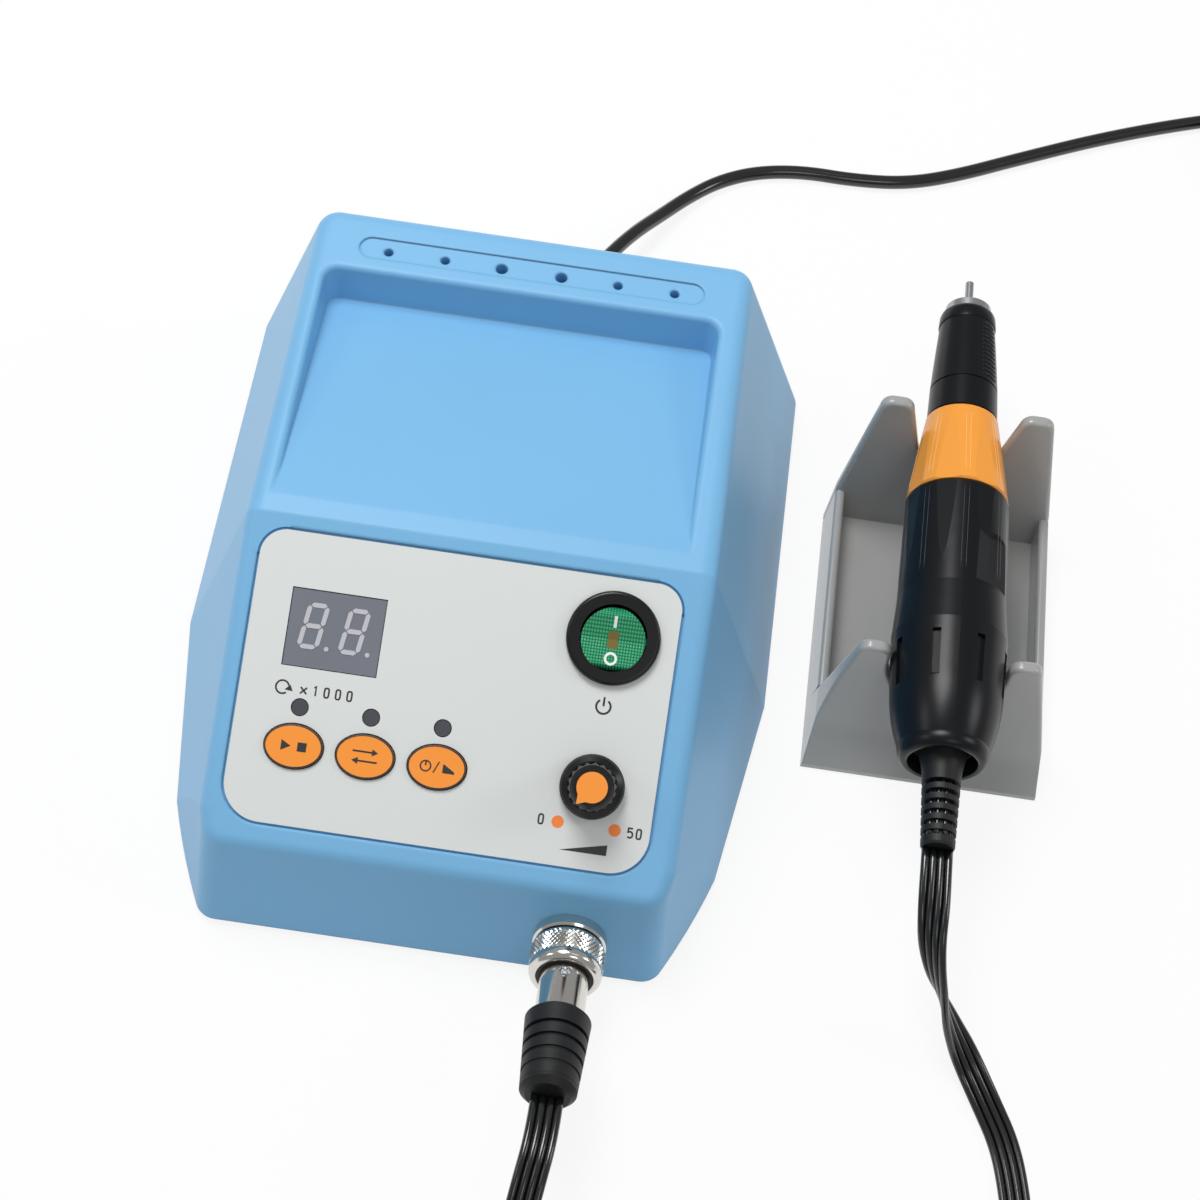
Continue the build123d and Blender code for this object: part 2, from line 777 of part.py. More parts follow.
# ---------------------------------------------------------------- the three keys
key_seat = -wall - key_gap                       # upper side of a key's flange, under the shell
stem_end = -board_depth + tact_height + key_travel + key_gap
for name, u in zip(("start_key", "direction_key", "hand_foot_key"), key_u):
    with BuildPart() as key:
        with BuildSketch(panel.offset(key_seat)):
            with Locations((u, key_v)):
                Ellipse(key_length / 2, key_width / 2)
        extrude(amount=key_rise - key_seat)
        fillet(key.faces().sort_by(Axis(panel.origin, panel.z_dir))[-1].edges(), radius=0.35)
        with BuildSketch(panel.offset(key_seat)):
            with Locations((u, key_v)):
                Ellipse(key_length / 2 + key_flange, key_width / 2 + key_flange)
        extrude(amount=-key_flange_thickness)
        with BuildSketch(panel.offset(key_seat - key_flange_thickness)):
            with Locations((u, key_v)):
                Circle(key_stem / 2)
        extrude(amount=stem_end - key_seat + key_flange_thickness)
    key.part.label = name
    export_step(key.part, f"parts/{name}.step")

# ---------------------------------------------------------------- the mains rocker
switch_top = switch_flange_thickness - label_sink
switch_axis_line = Axis(panel.from_local_coords((switch_u, switch_v, -rocker_pivot_depth)), (1, 0, 0))
switch_floor = -switch_depth + 2.0
with BuildPart() as switch_housing:
    with BuildSketch(label_face):
        with Locations((switch_u, switch_v)):
            Circle(switch_flange / 2)
    extrude(amount=switch_flange_thickness)
    fillet(switch_housing.edges().sort_by(Axis(panel.origin, panel.z_dir))[-1], radius=0.9)
    with BuildSketch(label_face):
        with Locations((switch_u, switch_v)):
            Circle(switch_barrel / 2)
    extrude(amount=-switch_depth)
    with BuildSketch(label_face.offset(switch_flange_thickness)):
        with Locations((switch_u, switch_v)):
            Circle(switch_opening / 2)
    extrude(amount=switch_floor - switch_flange_thickness, mode=Mode.SUBTRACT)
    # bores for the rocker's two pins
    with Locations(Plane(origin=switch_axis_line.position, z_dir=(1, 0, 0))):
        Cylinder(rocker_pin / 2 + pin_fit, switch_opening + 2.4, mode=Mode.SUBTRACT)
switch_housing.part.label = "switch_housing"
export_step(switch_housing.part, "parts/switch_housing.step")

with BuildPart() as switch_terminals:
    with BuildSketch(label_face.offset(-switch_depth)):
        with Locations(*[(switch_u + x, switch_v) for x in (-5.5, 0, 5.5)]):
            Rectangle(0.8, 6.3)
    extrude(amount=-8)
switch_terminals.part.label = "switch_terminals"
export_step(switch_terminals.part, "parts/switch_terminals.step")

with BuildPart() as switch_lamp:
    with BuildSketch(label_face.offset(switch_floor)):
        with Locations((switch_u, switch_v)):
            Circle(switch_lamp_diameter / 2)
    extrude(amount=switch_lamp_height)
    fillet(switch_lamp.faces().sort_by(Axis(panel.origin, panel.z_dir))[-1].edges(), radius=switch_lamp_diameter / 3)
switch_lamp.part.label = "switch_lamp"
export_step(switch_lamp.part, "parts/switch_lamp.step")

rocker_swing = switch_opening / 2 - 0.25
rocker_rise = switch_top + rocker_pivot_depth + 1.0
rest_plane = Plane(
    origin=switch_axis_line.position,
    x_dir=(1, 0, 0),
    z_dir=panel.z_dir.rotate(Axis((0, 0, 0), (1, 0, 0)), rocker_tilt),
)
rocker_side = Plane(origin=rest_plane.origin, x_dir=rest_plane.y_dir, z_dir=(1, 0, 0))
with BuildPart() as power_rocker:
    with BuildSketch(rest_plane.offset(-4)):
        Circle(rocker_diameter / 2)
    extrude(amount=4 + rocker_rise + 4)
    with BuildSketch(rocker_side):
        Circle(rocker_swing)
        drop = rocker_swing * tan(radians(rocker_tilt))
        Polygon(
            (-rocker_swing - 1, -3.2), (rocker_swing + 1, -3.2),
            (rocker_swing + 1, rocker_rise + drop), (0, rocker_rise - 1.0), (-rocker_swing - 1, rocker_rise + drop),
            align=None, mode=Mode.INTERSECT,
        )
    extrude(amount=rocker_diameter, both=True, mode=Mode.INTERSECT)
    with Locations(Plane(origin=rest_plane.origin, z_dir=(1, 0, 0))):
        Cylinder(rocker_pin / 2, switch_opening + 1.6)
power_rocker.part.label = "power_rocker"
export_step(power_rocker.part, "parts/power_rocker.step")


# ---------------------------------------------------------------- the speed knob and its potentiometer
knob_place = panel.from_local_coords((knob_u, knob_v, 0))
knob_axis = Axis(knob_place, panel.z_dir)
knob_side = Plane(origin=knob_place, x_dir=panel.z_dir, z_dir=(1, 0, 0))
bushing_end = nut_height + 1.0
shaft_end = knob_height - 2.0
with BuildPart() as speed_pot:
    with BuildSketch(knob_side):
        closed((-wall - pot_depth, 0), (-wall - pot_depth, pot_diameter / 2), (-wall, pot_diameter / 2),
               (-wall, bushing_diameter / 2), (bushing_end, bushing_diameter / 2), (bushing_end, 0))
    revolve(axis=knob_axis)
    with BuildSketch(panel.offset(-wall - pot_depth + 1)):
        with Locations((knob_u, knob_v)):
            Circle(shaft_diameter / 2 + shaft_fit)
    extrude(amount=pot_depth + wall + bushing_end, mode=Mode.SUBTRACT)
speed_pot.part.label = "speed_pot"
export_step(speed_pot.part, "parts/speed_pot.step")

with BuildPart() as pot_nut:
    with BuildSketch(label_face):
        with Locations((knob_u, knob_v)):
            RegularPolygon(nut_across / 2, 6, major_radius=False)
            Circle(bushing_diameter / 2, mode=Mode.SUBTRACT)
    extrude(amount=nut_height)
pot_nut.part.label = "pot_nut"
export_step(pot_nut.part, "parts/pot_nut.step")

with BuildPart() as pot_shaft:
    with BuildSketch(panel.offset(-wall - pot_depth + 1 + key_gap)):
        with Locations((knob_u, knob_v)):
            Circle(shaft_diameter / 2)
    extrude(amount=shaft_end + wall + pot_depth - 1 - key_gap)
pot_shaft.part.label = "pot_shaft"
export_step(pot_shaft.part, "parts/pot_shaft.step")

skirt_radius = knob_skirt / 2
grip_radius = knob_grip / 2
with BuildPart() as speed_knob:
    with BuildSketch(knob_side):
        closed((knob_gap, 0), (knob_gap, skirt_radius - 0.3), (knob_gap + 0.3, skirt_radius),
               (knob_skirt_height - 1.6, skirt_radius), (knob_skirt_height - 0.8, skirt_radius - 0.5),
               (knob_skirt_height, grip_radius + 0.4), (knob_height - 0.8, grip_radius - 0.5),
               (knob_height, grip_radius - 1.2), (knob_height, 0))
    revolve(axis=knob_axis)
    # flutes round the grip
    with BuildSketch(panel.offset(knob_height)):
        with Locations((knob_u, knob_v)):
            with PolarLocations(grip_radius + 0.35, knob_flutes):
                Circle(0.75)
    extrude(amount=knob_skirt_height - knob_height, mode=Mode.SUBTRACT)
    # room for the nut, and the shaft's bore
    with BuildSketch(panel.offset(knob_gap)):
        with Locations((knob_u, knob_v)):
            Circle(nut_across / 2 + 1.2)
    extrude(amount=bushing_end + key_gap - knob_gap, mode=Mode.SUBTRACT)
    with BuildSketch(panel):
        with Locations((knob_u, knob_v)):
            Circle(shaft_diameter / 2)
    extrude(amount=shaft_end, mode=Mode.SUBTRACT)
speed_knob.part.label = "speed_knob"
export_step(speed_knob.part, "parts/speed_knob.step")

pointer_turn = Axis((0, 0, 0), panel.z_dir)
pointer_plane = Plane(
    origin=panel.from_local_coords((knob_u, knob_v, knob_height)),
    x_dir=panel.x_dir.rotate(pointer_turn, pointer_angle),
    z_dir=panel.z_dir,
)
with BuildPart() as knob_pointer:
    with BuildSketch(pointer_plane):
        Circle(pointer_radius)
        Polygon((0, pointer_radius), (pointer_reach, 0), (0, -pointer_radius), align=None)
    extrude(amount=pointer_rise)
knob_pointer.part.label = "knob_pointer"
export_step(knob_pointer.part, "parts/knob_pointer.step")

# ---------------------------------------------------------------- the motor socket and its plug
plug_place = front.from_local_coords((plug_u, plug_v, 0))
plug_axis = Axis(plug_place, front.z_dir)
plug_side = Plane(origin=plug_place, x_dir=front.z_dir, z_dir=(1, 0, 0))
body_radius = socket_body / 2
collar_radius = socket_collar / 2
with BuildPart() as panel_socket:
    with BuildSketch(plug_side):
        closed((-socket_inside, 0), (-socket_inside, body_radius), (0, body_radius),
               (0, socket_flange / 2), (socket_flange_thickness - 0.5, socket_flange / 2),
               (socket_flange_thickness, socket_flange / 2 - 0.5), (socket_flange_thickness, collar_radius),
               (socket_collar_end, collar_radius), (socket_collar_end, 0))
    revolve(axis=plug_axis)
    with BuildSketch(Plane(origin=plug_place + front.z_dir * socket_collar_end, z_dir=front.z_dir)):
        Circle(collar_radius - 1.6)
    extrude(amount=-8, mode=Mode.SUBTRACT)
panel_socket.part.label = "panel_socket"
export_step(panel_socket.part, "parts/panel_socket.step")

with BuildPart() as socket_nut:
    with BuildSketch(front.offset(-wall)):
        with Locations((plug_u, plug_v)):
            RegularPolygon(socket_nut_across / 2, 6, major_radius=False)
            Circle(body_radius, mode=Mode.SUBTRACT)
    extrude(amount=-3)
socket_nut.part.label = "socket_nut"
export_step(socket_nut.part, "parts/socket_nut.step")

with BuildPart() as socket_contacts:
    with BuildSketch(front.offset(-socket_inside)):
        with Locations((plug_u, plug_v)):
            with PolarLocations(contact_circle / 2, contact_count):
                Circle(contact_diameter / 2)
    extrude(amount=-contact_length)
socket_contacts.part.label = "socket_contacts"
export_step(socket_contacts.part, "parts/socket_contacts.step")

ring_start = socket_flange_thickness + ring_gap
lip_start = ring_end - 2.2
ring_radius = ring_diameter / 2
barrel_radius = barrel_diameter / 2
barrel_start = socket_collar_end + 0.05
with BuildPart() as plug_ring:
    with BuildSketch(plug_side):
        closed((ring_start, collar_radius + ring_fit), (ring_start, ring_radius - 0.5),
               (ring_start + 0.5, ring_radius), (ring_end - 0.7, ring_radius),
               (ring_end, ring_radius - 0.7), (ring_end, barrel_radius + ring_fit),
               (lip_start, barrel_radius + ring_fit), (lip_start, collar_radius + ring_fit))
    revolve(axis=plug_axis)
plug_ring.part.label = "plug_ring"
export_step(plug_ring.part, "parts/plug_ring.step")

with BuildPart() as plug_barrel:
    with BuildSketch(plug_side):
        closed((barrel_start, 0), (barrel_start, collar_radius - ring_fit),
               (lip_start - ring_gap / 2, collar_radius - ring_fit),
               (lip_start - ring_gap / 2, barrel_radius), (barrel_end, barrel_radius), (barrel_end, 0))
    revolve(axis=plug_axis)
plug_barrel.part.label = "plug_barrel"
export_step(plug_barrel.part, "parts/plug_barrel.step")

boot_radius = boot_diameter / 2
boot_pitch = (boot_end - barrel_end - 4) / boot_ribs
with BuildPart() as plug_boot:
    with BuildSketch(plug_side):
        closed((barrel_end, 0), (barrel_end, boot_radius - 0.8), (barrel_end + 0.8, boot_radius),
               (boot_end - 1.5, boot_radius - 1.2), (boot_end, boot_radius - 2.7), (boot_end, 0))
    revolve(axis=plug_axis)
    for rib in range(boot_ribs):
        station = barrel_end + 4 + rib * boot_pitch
        with BuildSketch(plug_side):
            with Locations((station + boot_pitch / 2, boot_radius - 0.4)):
                Rectangle(1.1, 1.6)
        revolve(axis=plug_axis, mode=Mode.SUBTRACT)
plug_boot.part.label = "plug_boot"
export_step(plug_boot.part, "parts/plug_boot.step")

# ---------------------------------------------------------------- transformer and mains inlet
core_foot = plate_z + plate_thickness
window_side = (core_width - 4 * core_limb) / 2
core_window_height = core_height - 2 * core_limb
with BuildPart() as transformer_core:
    with BuildSketch(Plane(origin=unit.from_local_coords((core_x, core_y + core_stack / 2, core_foot)),
                           x_dir=(1, 0, 0), z_dir=(0, -1, 0))):
        with Locations((0, core_height / 2)):
            Rectangle(core_width, core_height)
        with Locations(*[(s * (core_limb + window_side / 2), core_height / 2) for s in (-1, 1)]):
            Rectangle(window_side, core_window_height, mode=Mode.SUBTRACT)
    extrude(amount=core_stack)
transformer_core.part.label = "transformer_core"
export_step(transformer_core.part, "parts/transformer_core.step")

with BuildPart() as transformer_winding:
    with BuildSketch(unit.offset(core_foot + core_limb + 0.2)):
        with Locations((core_x, core_y)):
            RectangleRounded(2 * (core_limb + window_side - winding_gap), core_stack + 2 * winding_reach, 4)
            Rectangle(2 * core_limb + 0.4, core_stack + 0.4, mode=Mode.SUBTRACT)
    extrude(amount=core_window_height - 0.4)
transformer_winding.part.label = "transformer_winding"
export_step(transformer_winding.part, "parts/transformer_winding.step")

inlet_place = rear.from_local_coords((-inlet_x, inlet_z / cos(radians(rear_lean_angle)), 0))
inlet_axis = Axis(inlet_place, rear.z_dir)
inlet_side = Plane(origin=inlet_place, x_dir=rear.z_dir, z_dir=(1, 0, 0))
mains_radius = mains_diameter / 2
bush_root = inlet_place + rear.z_dir * bush_flange_thickness
bush_tip = Vector(*mains_route[0])
bush_lead = (Vector(*mains_route[1]) - bush_tip).normalized()
with BuildPart() as mains_bush:
    with BuildSketch(inlet_side):
        closed((-wall - 2, 0), (-wall - 2, bush_neck / 2), (0, bush_neck / 2),
               (0, bush_flange / 2), (bush_flange_thickness, bush_flange / 2), (bush_flange_thickness, 0))
    revolve(axis=inlet_axis)
    # the tapered sleeve, bent the way the cord leaves it
    with BuildLine() as bend:
        Bezier(bush_root, bush_root + rear.z_dir * bush_length / 2, bush_tip - bush_lead * bush_length / 3, bush_tip)
    for share in (0, 0.25, 0.5, 0.75, 1):
        radius = bush_neck / 2 + (bush_tip_diameter - bush_neck) / 2 * share
        with BuildSketch(Plane(origin=bend.line @ share, z_dir=bend.line % share)):
            Circle(radius)
    loft()
mains_bush.part.label = "mains_bush"
export_step(mains_bush.part, "parts/mains_bush.step")

# ---------------------------------------------------------------- the cradle
rear_slope = tan(radians(rear_lean))
front_inner_y = front_wall_y + end_wall
rear_inner_y = cradle_rear_y - end_wall
front_notch_y = front_inner_y
rear_notch_y = rear_inner_y + (hand_z - notch_drop) * rear_slope
bench_front = Plane(origin=bench.origin, x_dir=(1, 0, 0), z_dir=(0, -1, 0))
cradle_flare = (cradle_half - cradle_rim_half) / cradle_side_height


def ears_outline(rest_radius, ear_z):
    """Front view of an end wall: ears that slope in, and a round notch that opens up between them."""
    ear_out = ear_x + ear_radius
    ear_in = ear_x - ear_radius
    reach = Vector(ear_in, ear_z - hand_z)
    turn = atan2(reach.Y, reach.X) - acos(rest_radius / reach.length)
    touch_x = rest_radius * cos(turn)
    touch_z = hand_z + rest_radius * sin(turn)
    plate = Polygon(
        (-cradle_half, 0), (cradle_half, 0), (cradle_rim_half, cradle_side_height), (ear_out, ear_z),
        (ear_in, ear_z), (touch_x, touch_z), (-touch_x, touch_z), (-ear_in, ear_z), (-ear_out, ear_z),
        (-cradle_rim_half, cradle_side_height), align=None,
    )
    fillet(plate.vertices().group_by(Axis.Y)[-1], radius=ear_radius - 0.6)
    with Locations((0, hand_z)):
        Circle(rest_radius, mode=Mode.SUBTRACT)


def end_plate(profile, rest_radius, ear_z):
    """One end wall from its side view and its front view, rounded along the ears and the notch."""
    with BuildPart() as plate:
        add(profile)
        with BuildSketch(bench_front):
            ears_outline(rest_radius, ear_z)
        extrude(amount=-2 * cradle_rear_y, mode=Mode.INTERSECT)
        high = plate.edges().filter_by_position(Axis.Z, cradle_side_height + 1, ear_z + 1)
        across_y = [edge for edge in high if abs((edge % 0.5).Y) < 0.7]
        fillet(across_y, radius=cradle_round)
    return plate.part


with BuildPart() as front_profile:
    with BuildSketch(bench_side):
        with BuildLine():
            TangentArc((front_wall_y, front_ear_z), (cradle_front_y, cradle_foot), tangent=(0, -1))
            Polyline((cradle_front_y, cradle_foot), (cradle_front_y, 0), (front_inner_y, 0),
                     (front_inner_y, front_ear_z), (front_wall_y, front_ear_z))
        make_face()
    extrude(amount=cradle_half, both=True)
with BuildPart() as rear_profile:
    with BuildSketch(bench_side):
        top_shift = rear_ear_z * rear_slope
        closed((rear_inner_y, 0), (cradle_rear_y, 0), (cradle_rear_y + top_shift, rear_ear_z),
               (rear_inner_y + top_shift, rear_ear_z))
    extrude(amount=cradle_half, both=True)
front_plate = end_plate(front_profile.part, radius_at(front_notch_y) + notch_clearance, front_ear_z)
rear_plate = end_plate(rear_profile.part, radius_at(rear_notch_y) + notch_clearance, rear_ear_z)

with BuildPart() as cradle:
    # the floor and the side walls, which spread towards the bench
    with BuildSketch(bench_side):
        closed((front_inner_y, 0), (rear_inner_y, 0),
               (rear_inner_y + cradle_side_height * rear_slope, cradle_side_height),
               (front_inner_y, cradle_side_height))
    extrude(amount=cradle_half, both=True)
    for side in (-1, 1):
        edge = bench.from_local_coords((side * cradle_half, 0, 0))
        split(bisect_by=Plane(origin=edge, z_dir=Vector(side, 0, cradle_flare).normalized()), keep=Keep.BOTTOM)
    with BuildSketch(bench.offset(cradle_floor)):
        with Locations((0, cradle_rear_y / 2)):
            Rectangle(2 * (cradle_rim_half - cradle_wall), 2 * cradle_rear_y)
    extrude(amount=cradle_side_height, mode=Mode.SUBTRACT)
    rims = cradle.edges().filter_by(Axis.Y).filter_by_position(
        Axis.Z, cradle_side_height - 0.1, cradle_side_height + 0.1)
    fillet(rims, radius=cradle_round)
    add(front_plate)
    add(rear_plate)
cradle.part.label = "cradle"
export_step(cradle.part, "parts/cradle.step")


# ---------------------------------------------------------------- the handpiece
bore_radius = collar_bottom_diameter / 2 - hand_wall
tube_radius = 7.6
bearing_seat = bearing_diameter / 2 + running_fit
front_bearing_y = 150.0
rear_bearing_y = 70.0
bulkhead = 3.0
spindle_radius = spindle_diameter / 2
collet_start = 164.0
collet_end = nose_y - 1.0
collet_bore = collet_diameter / 2 + hand_gap
can_end = 124.0
can_radius = bore_radius - running_fit


def around(angle):
    """The plane through the handpiece's axis, turned about it."""
    return Plane(
        origin=hand_side.origin,
        x_dir=(0, 1, 0),
        z_dir=Vector(1, 0, 0).rotate(Axis((0, 0, 0), (0, 1, 0)), angle),
    )


with BuildPart() as hand_body:
    front_y = collar_bottom_y
    with BuildSketch(hand_side):
        closed((joint_y, bore_radius), (joint_y, joint_diameter / 2), (front_y - 0.6, radius_at(front_y)),
               (front_y, radius_at(front_y) - 0.6), (front_y, tube_radius + running_fit),
               (front_y - bulkhead, tube_radius + running_fit), (front_y - bulkhead, bore_radius))
    revolve(axis=hand_axis)
    for n in range(flat_count):
        with BuildSketch(around(n * 360 / flat_count + 22.5)):
            closed((joint_y + 3, joint_diameter / 2), (front_y + 1, radius_at(front_y) - flat_depth),
                   (front_y + 1, joint_diameter), (joint_y + 3, joint_diameter))
        extrude(amount=joint_diameter / 4, both=True, mode=Mode.SUBTRACT)
    # the facet for the thumb, beside the joint
    with BuildSketch(around(facet_angle)):
        closed((joint_y + 1, joint_diameter / 2 - facet_depth), (facet_top_y, joint_diameter / 2 - facet_depth),
               (facet_top_y + 2 * facet_depth, joint_diameter / 2 + facet_depth),
               (joint_y + 1, joint_diameter / 2 + facet_depth))
    extrude(amount=joint_diameter / 4, both=True, mode=Mode.SUBTRACT)
hand_body.part.label = "hand_body"
export_step(hand_body.part, "parts/hand_body.step")

with BuildPart() as hand_collar:
    low = collar_bottom_y + hand_gap
    high = collar_top_y - hand_gap
    with BuildSketch(hand_side):
        closed((low, tube_radius + running_fit), (low, radius_at(low) - 0.5), (low + 0.5, radius_at(low + 0.5)),
               (high - 0.4, radius_at(high - 0.4)), (high, radius_at(high) - 0.4),
               (high, tube_radius + running_fit))
    revolve(axis=hand_axis)
    for n in range(flat_count):
        with BuildSketch(around(n * 360 / flat_count + 22.5)):
            closed((low - 1, radius_at(low) - flat_depth), (high - 4, radius_at(high - 4)),
                   (high - 4, radius_at(low) + 2), (low - 1, radius_at(low) + 2))
        extrude(amount=joint_diameter / 4, both=True, mode=Mode.SUBTRACT)
hand_collar.part.label = "hand_collar"
export_step(hand_collar.part, "parts/hand_collar.step")

groove = 0.7
with BuildPart() as hand_sleeve:
    with BuildSketch(hand_side):
        closed((collar_bottom_y - bulkhead - 3, bearing_seat), (collar_bottom_y - bulkhead - 3, bore_radius - 1),
               (collar_bottom_y - bulkhead, bore_radius - 1), (collar_bottom_y - bulkhead, tube_radius),
               (collar_top_y, tube_radius), (collar_top_y, collar_top_diameter / 2 - 0.2),
               (sleeve_step_y - 0.4, sleeve_diameter / 2), (sleeve_step_y, sleeve_diameter / 2 - groove),
               (sleeve_step_y + 1.0, sleeve_diameter / 2 - groove), (sleeve_step_y + 1.4, sleeve_diameter / 2 - 0.1),
               (sleeve_step_y + 5.0, radius_at(sleeve_step_y + 5.0)),
               (sleeve_step_y + 5.4, radius_at(sleeve_step_y + 5.4) - groove),
               (sleeve_step_y + 6.4, radius_at(sleeve_step_y + 6.4) - groove),
               (sleeve_step_y + 6.8, radius_at(sleeve_step_y + 6.8)),
               (sleeve_y - 1.0, radius_at(sleeve_y - 1.0)), (sleeve_y, radius_at(sleeve_y) - 0.8),
               (sleeve_y, collet_bore), (front_bearing_y + bearing_width, collet_bore),
               (front_bearing_y + bearing_width, bearing_seat))
    revolve(axis=hand_axis)
hand_sleeve.part.label = "hand_sleeve"
export_step(hand_sleeve.part, "parts/hand_sleeve.step")

with BuildPart() as nose_cap:
    with BuildSketch(hand_side):
        closed((sleeve_y, collet_bore), (sleeve_y, nose_diameter / 2), (nose_y - 0.6, nose_diameter / 2),
               (nose_y, nose_diameter / 2 - 0.6), (nose_y, collet_bore))
    revolve(axis=hand_axis)
nose_cap.part.label = "nose_cap"
export_step(nose_cap.part, "parts/nose_cap.step")

relief_radius = relief_diameter / 2
recess_y = bell_end_y + recess_depth
bell_bore = joint_diameter / 2 - hand_wall
cord_bore = relief_radius - 1.0
with BuildPart() as end_bell:
    with BuildSketch(hand_side):
        with BuildLine():
            waist = (bell_waist_y, bell_waist_diameter / 2)
            ring_edge = (bell_end_y + bell_end_round, bell_end_diameter / 2)
            TangentArc(waist, ring_edge, tangent=(waist[0] - bell_y, waist[1] - bell_diameter / 2))
            Polyline(waist, (bell_y, bell_diameter / 2), (joint_y, joint_diameter / 2), (joint_y, bell_bore),
                     (carrier_start, bell_bore), (carrier_start - carrier_shoulder, bearing_seat),
                     (rear_bearing_y, bearing_seat), (rear_bearing_y, cord_bore), (recess_y, cord_bore),
                     (recess_y, relief_flare_radius + recess_gap),
                     (bell_end_y, bell_end_diameter / 2 - bell_rim),
                     (bell_end_y, bell_end_diameter / 2 - bell_end_round), ring_edge)
        make_face()
    revolve(axis=hand_axis)
    for n in range(slot_count):
        with BuildSketch(around((n + 0.5) * 360 / slot_count)):
            closed((vent_end_y, radius_at(vent_end_y)), (vent_end_y + 1, radius_at(vent_end_y) - vent_depth),
                   (vent_start_y, radius_at(vent_start_y) - vent_depth), (vent_start_y, bell_diameter),
                   (vent_end_y, bell_diameter))
        extrude(amount=vent_width / 2, both=True, mode=Mode.SUBTRACT)
end_bell.part.label = "end_bell"
export_step(end_bell.part, "parts/end_bell.step")

relief_neck_y = bell_end_y - relief_neck
relief_pitch = (relief_neck_y - relief_y - relief_tip) / relief_segments
with BuildPart() as hand_relief:
    with BuildSketch(hand_side):
        with BuildLine():
            neck = (relief_neck_y, relief_radius + relief_taper)
            TangentArc(neck, (recess_y, relief_flare_radius), tangent=(1, 0))
            Polyline((recess_y, relief_flare_radius), (recess_y, cord_bore - running_fit),
                     (recess_y + relief_plug, cord_bore - running_fit), (recess_y + relief_plug, 0),
                     (relief_y, 0), (relief_y, relief_radius - 2 * relief_taper),
                     (relief_y + 2 * relief_taper, relief_radius - relief_taper), neck)
        make_face()
    revolve(axis=hand_axis)
    for n in range(relief_segments):
        station = relief_y + relief_tip + (n + 0.5) * relief_pitch
        with BuildSketch(hand_side):
            with Locations((station, relief_radius)):
                Rectangle(relief_gap, 2 * relief_groove)
        revolve(axis=hand_axis, mode=Mode.SUBTRACT)
hand_relief.part.label = "hand_relief"
export_step(hand_relief.part, "parts/hand_relief.step")

with BuildPart() as motor_can:
    with BuildSketch(across(can_start)):
        Circle(can_radius)
        Circle(motor_bore / 2, mode=Mode.SUBTRACT)
    extrude(amount=can_end - can_start)
motor_can.part.label = "motor_can"
export_step(motor_can.part, "parts/motor_can.step")

with BuildPart() as rotor:
    with BuildSketch(across(can_start + 5)):
        Circle(motor_bore / 2 - rotor_gap)
        Circle(spindle_radius + shrink_fit, mode=Mode.SUBTRACT)
    extrude(amount=can_end - can_start - 10)
rotor.part.label = "rotor"
export_step(rotor.part, "parts/rotor.step")

with BuildPart() as commutator:
    with BuildSketch(across(carrier_start)):
        Circle(commutator_diameter / 2)
        Circle(spindle_radius + shrink_fit, mode=Mode.SUBTRACT)
    extrude(amount=commutator_length)
commutator.part.label = "commutator"
export_step(commutator.part, "parts/commutator.step")

brush_top = bell_bore - brush_rim
with BuildPart() as brush_carrier:
    with BuildSketch(across(carrier_start)):
        Circle(bell_bore - running_fit)
        Circle(commutator_diameter / 2 + hand_gap, mode=Mode.SUBTRACT)
        Rectangle(2 * brush_top, brush_width + 2 * running_fit, mode=Mode.SUBTRACT)
    extrude(amount=can_start - carrier_start)
brush_carrier.part.label = "brush_carrier"
export_step(brush_carrier.part, "parts/brush_carrier.step")

with BuildPart() as brushes:
    with BuildSketch(across(carrier_start + hand_gap)):
        for side in (-1, 1):
            closed((side * (commutator_diameter / 2 + running_fit), -brush_width / 2), (side * brush_top, -brush_width / 2),
                   (side * brush_top, brush_width / 2), (side * (commutator_diameter / 2 + running_fit), brush_width / 2))
    extrude(amount=brush_length)
brushes.part.label = "brushes"
export_step(brushes.part, "parts/brushes.step")

for name, station in (("rear_bearing", rear_bearing_y), ("front_bearing", front_bearing_y)):
    with BuildPart() as bearing:
        with BuildSketch(across(station)):
            Circle(bearing_diameter / 2)
            Circle(spindle_radius + running_fit, mode=Mode.SUBTRACT)
        extrude(amount=bearing_width)
    bearing.part.label = name
    export_step(bearing.part, f"parts/{name}.step")

with BuildPart() as spindle:
    with BuildSketch(across(rear_bearing_y + 0.5)):
        Circle(spindle_radius)
    extrude(amount=collet_start - rear_bearing_y - 0.5)
spindle.part.label = "spindle"
export_step(spindle.part, "parts/spindle.step")

with BuildPart() as collet:
    with BuildSketch(across(collet_start)):
        Circle(collet_diameter / 2)
    extrude(amount=collet_end - collet_start)
    with BuildSketch(across(collet_start + 8)):
        Circle(shank_diameter / 2 + 0.02)
    extrude(amount=collet_end - collet_start - 8, mode=Mode.SUBTRACT)
    # the three saw cuts that let the jaws close
    for angle in (0, 60, 120):
        with BuildSketch(around(angle)):
            with Locations((collet_end - 6, 0)):
                Rectangle(14, collet_diameter + 1)
        extrude(amount=0.25, both=True, mode=Mode.SUBTRACT)
collet.part.label = "collet"
export_step(collet.part, "parts/collet.step")

with BuildPart() as bur_shank:
    with BuildSketch(across(collet_start + 8)):
        Circle(shank_diameter / 2)
    extrude(amount=shank_tip_y - collet_start - 8)
    chamfer(bur_shank.faces().sort_by(Axis.Y)[-1].edges(), length=0.3)
bur_shank.part.label = "bur_shank"
export_step(bur_shank.part, "parts/bur_shank.step")


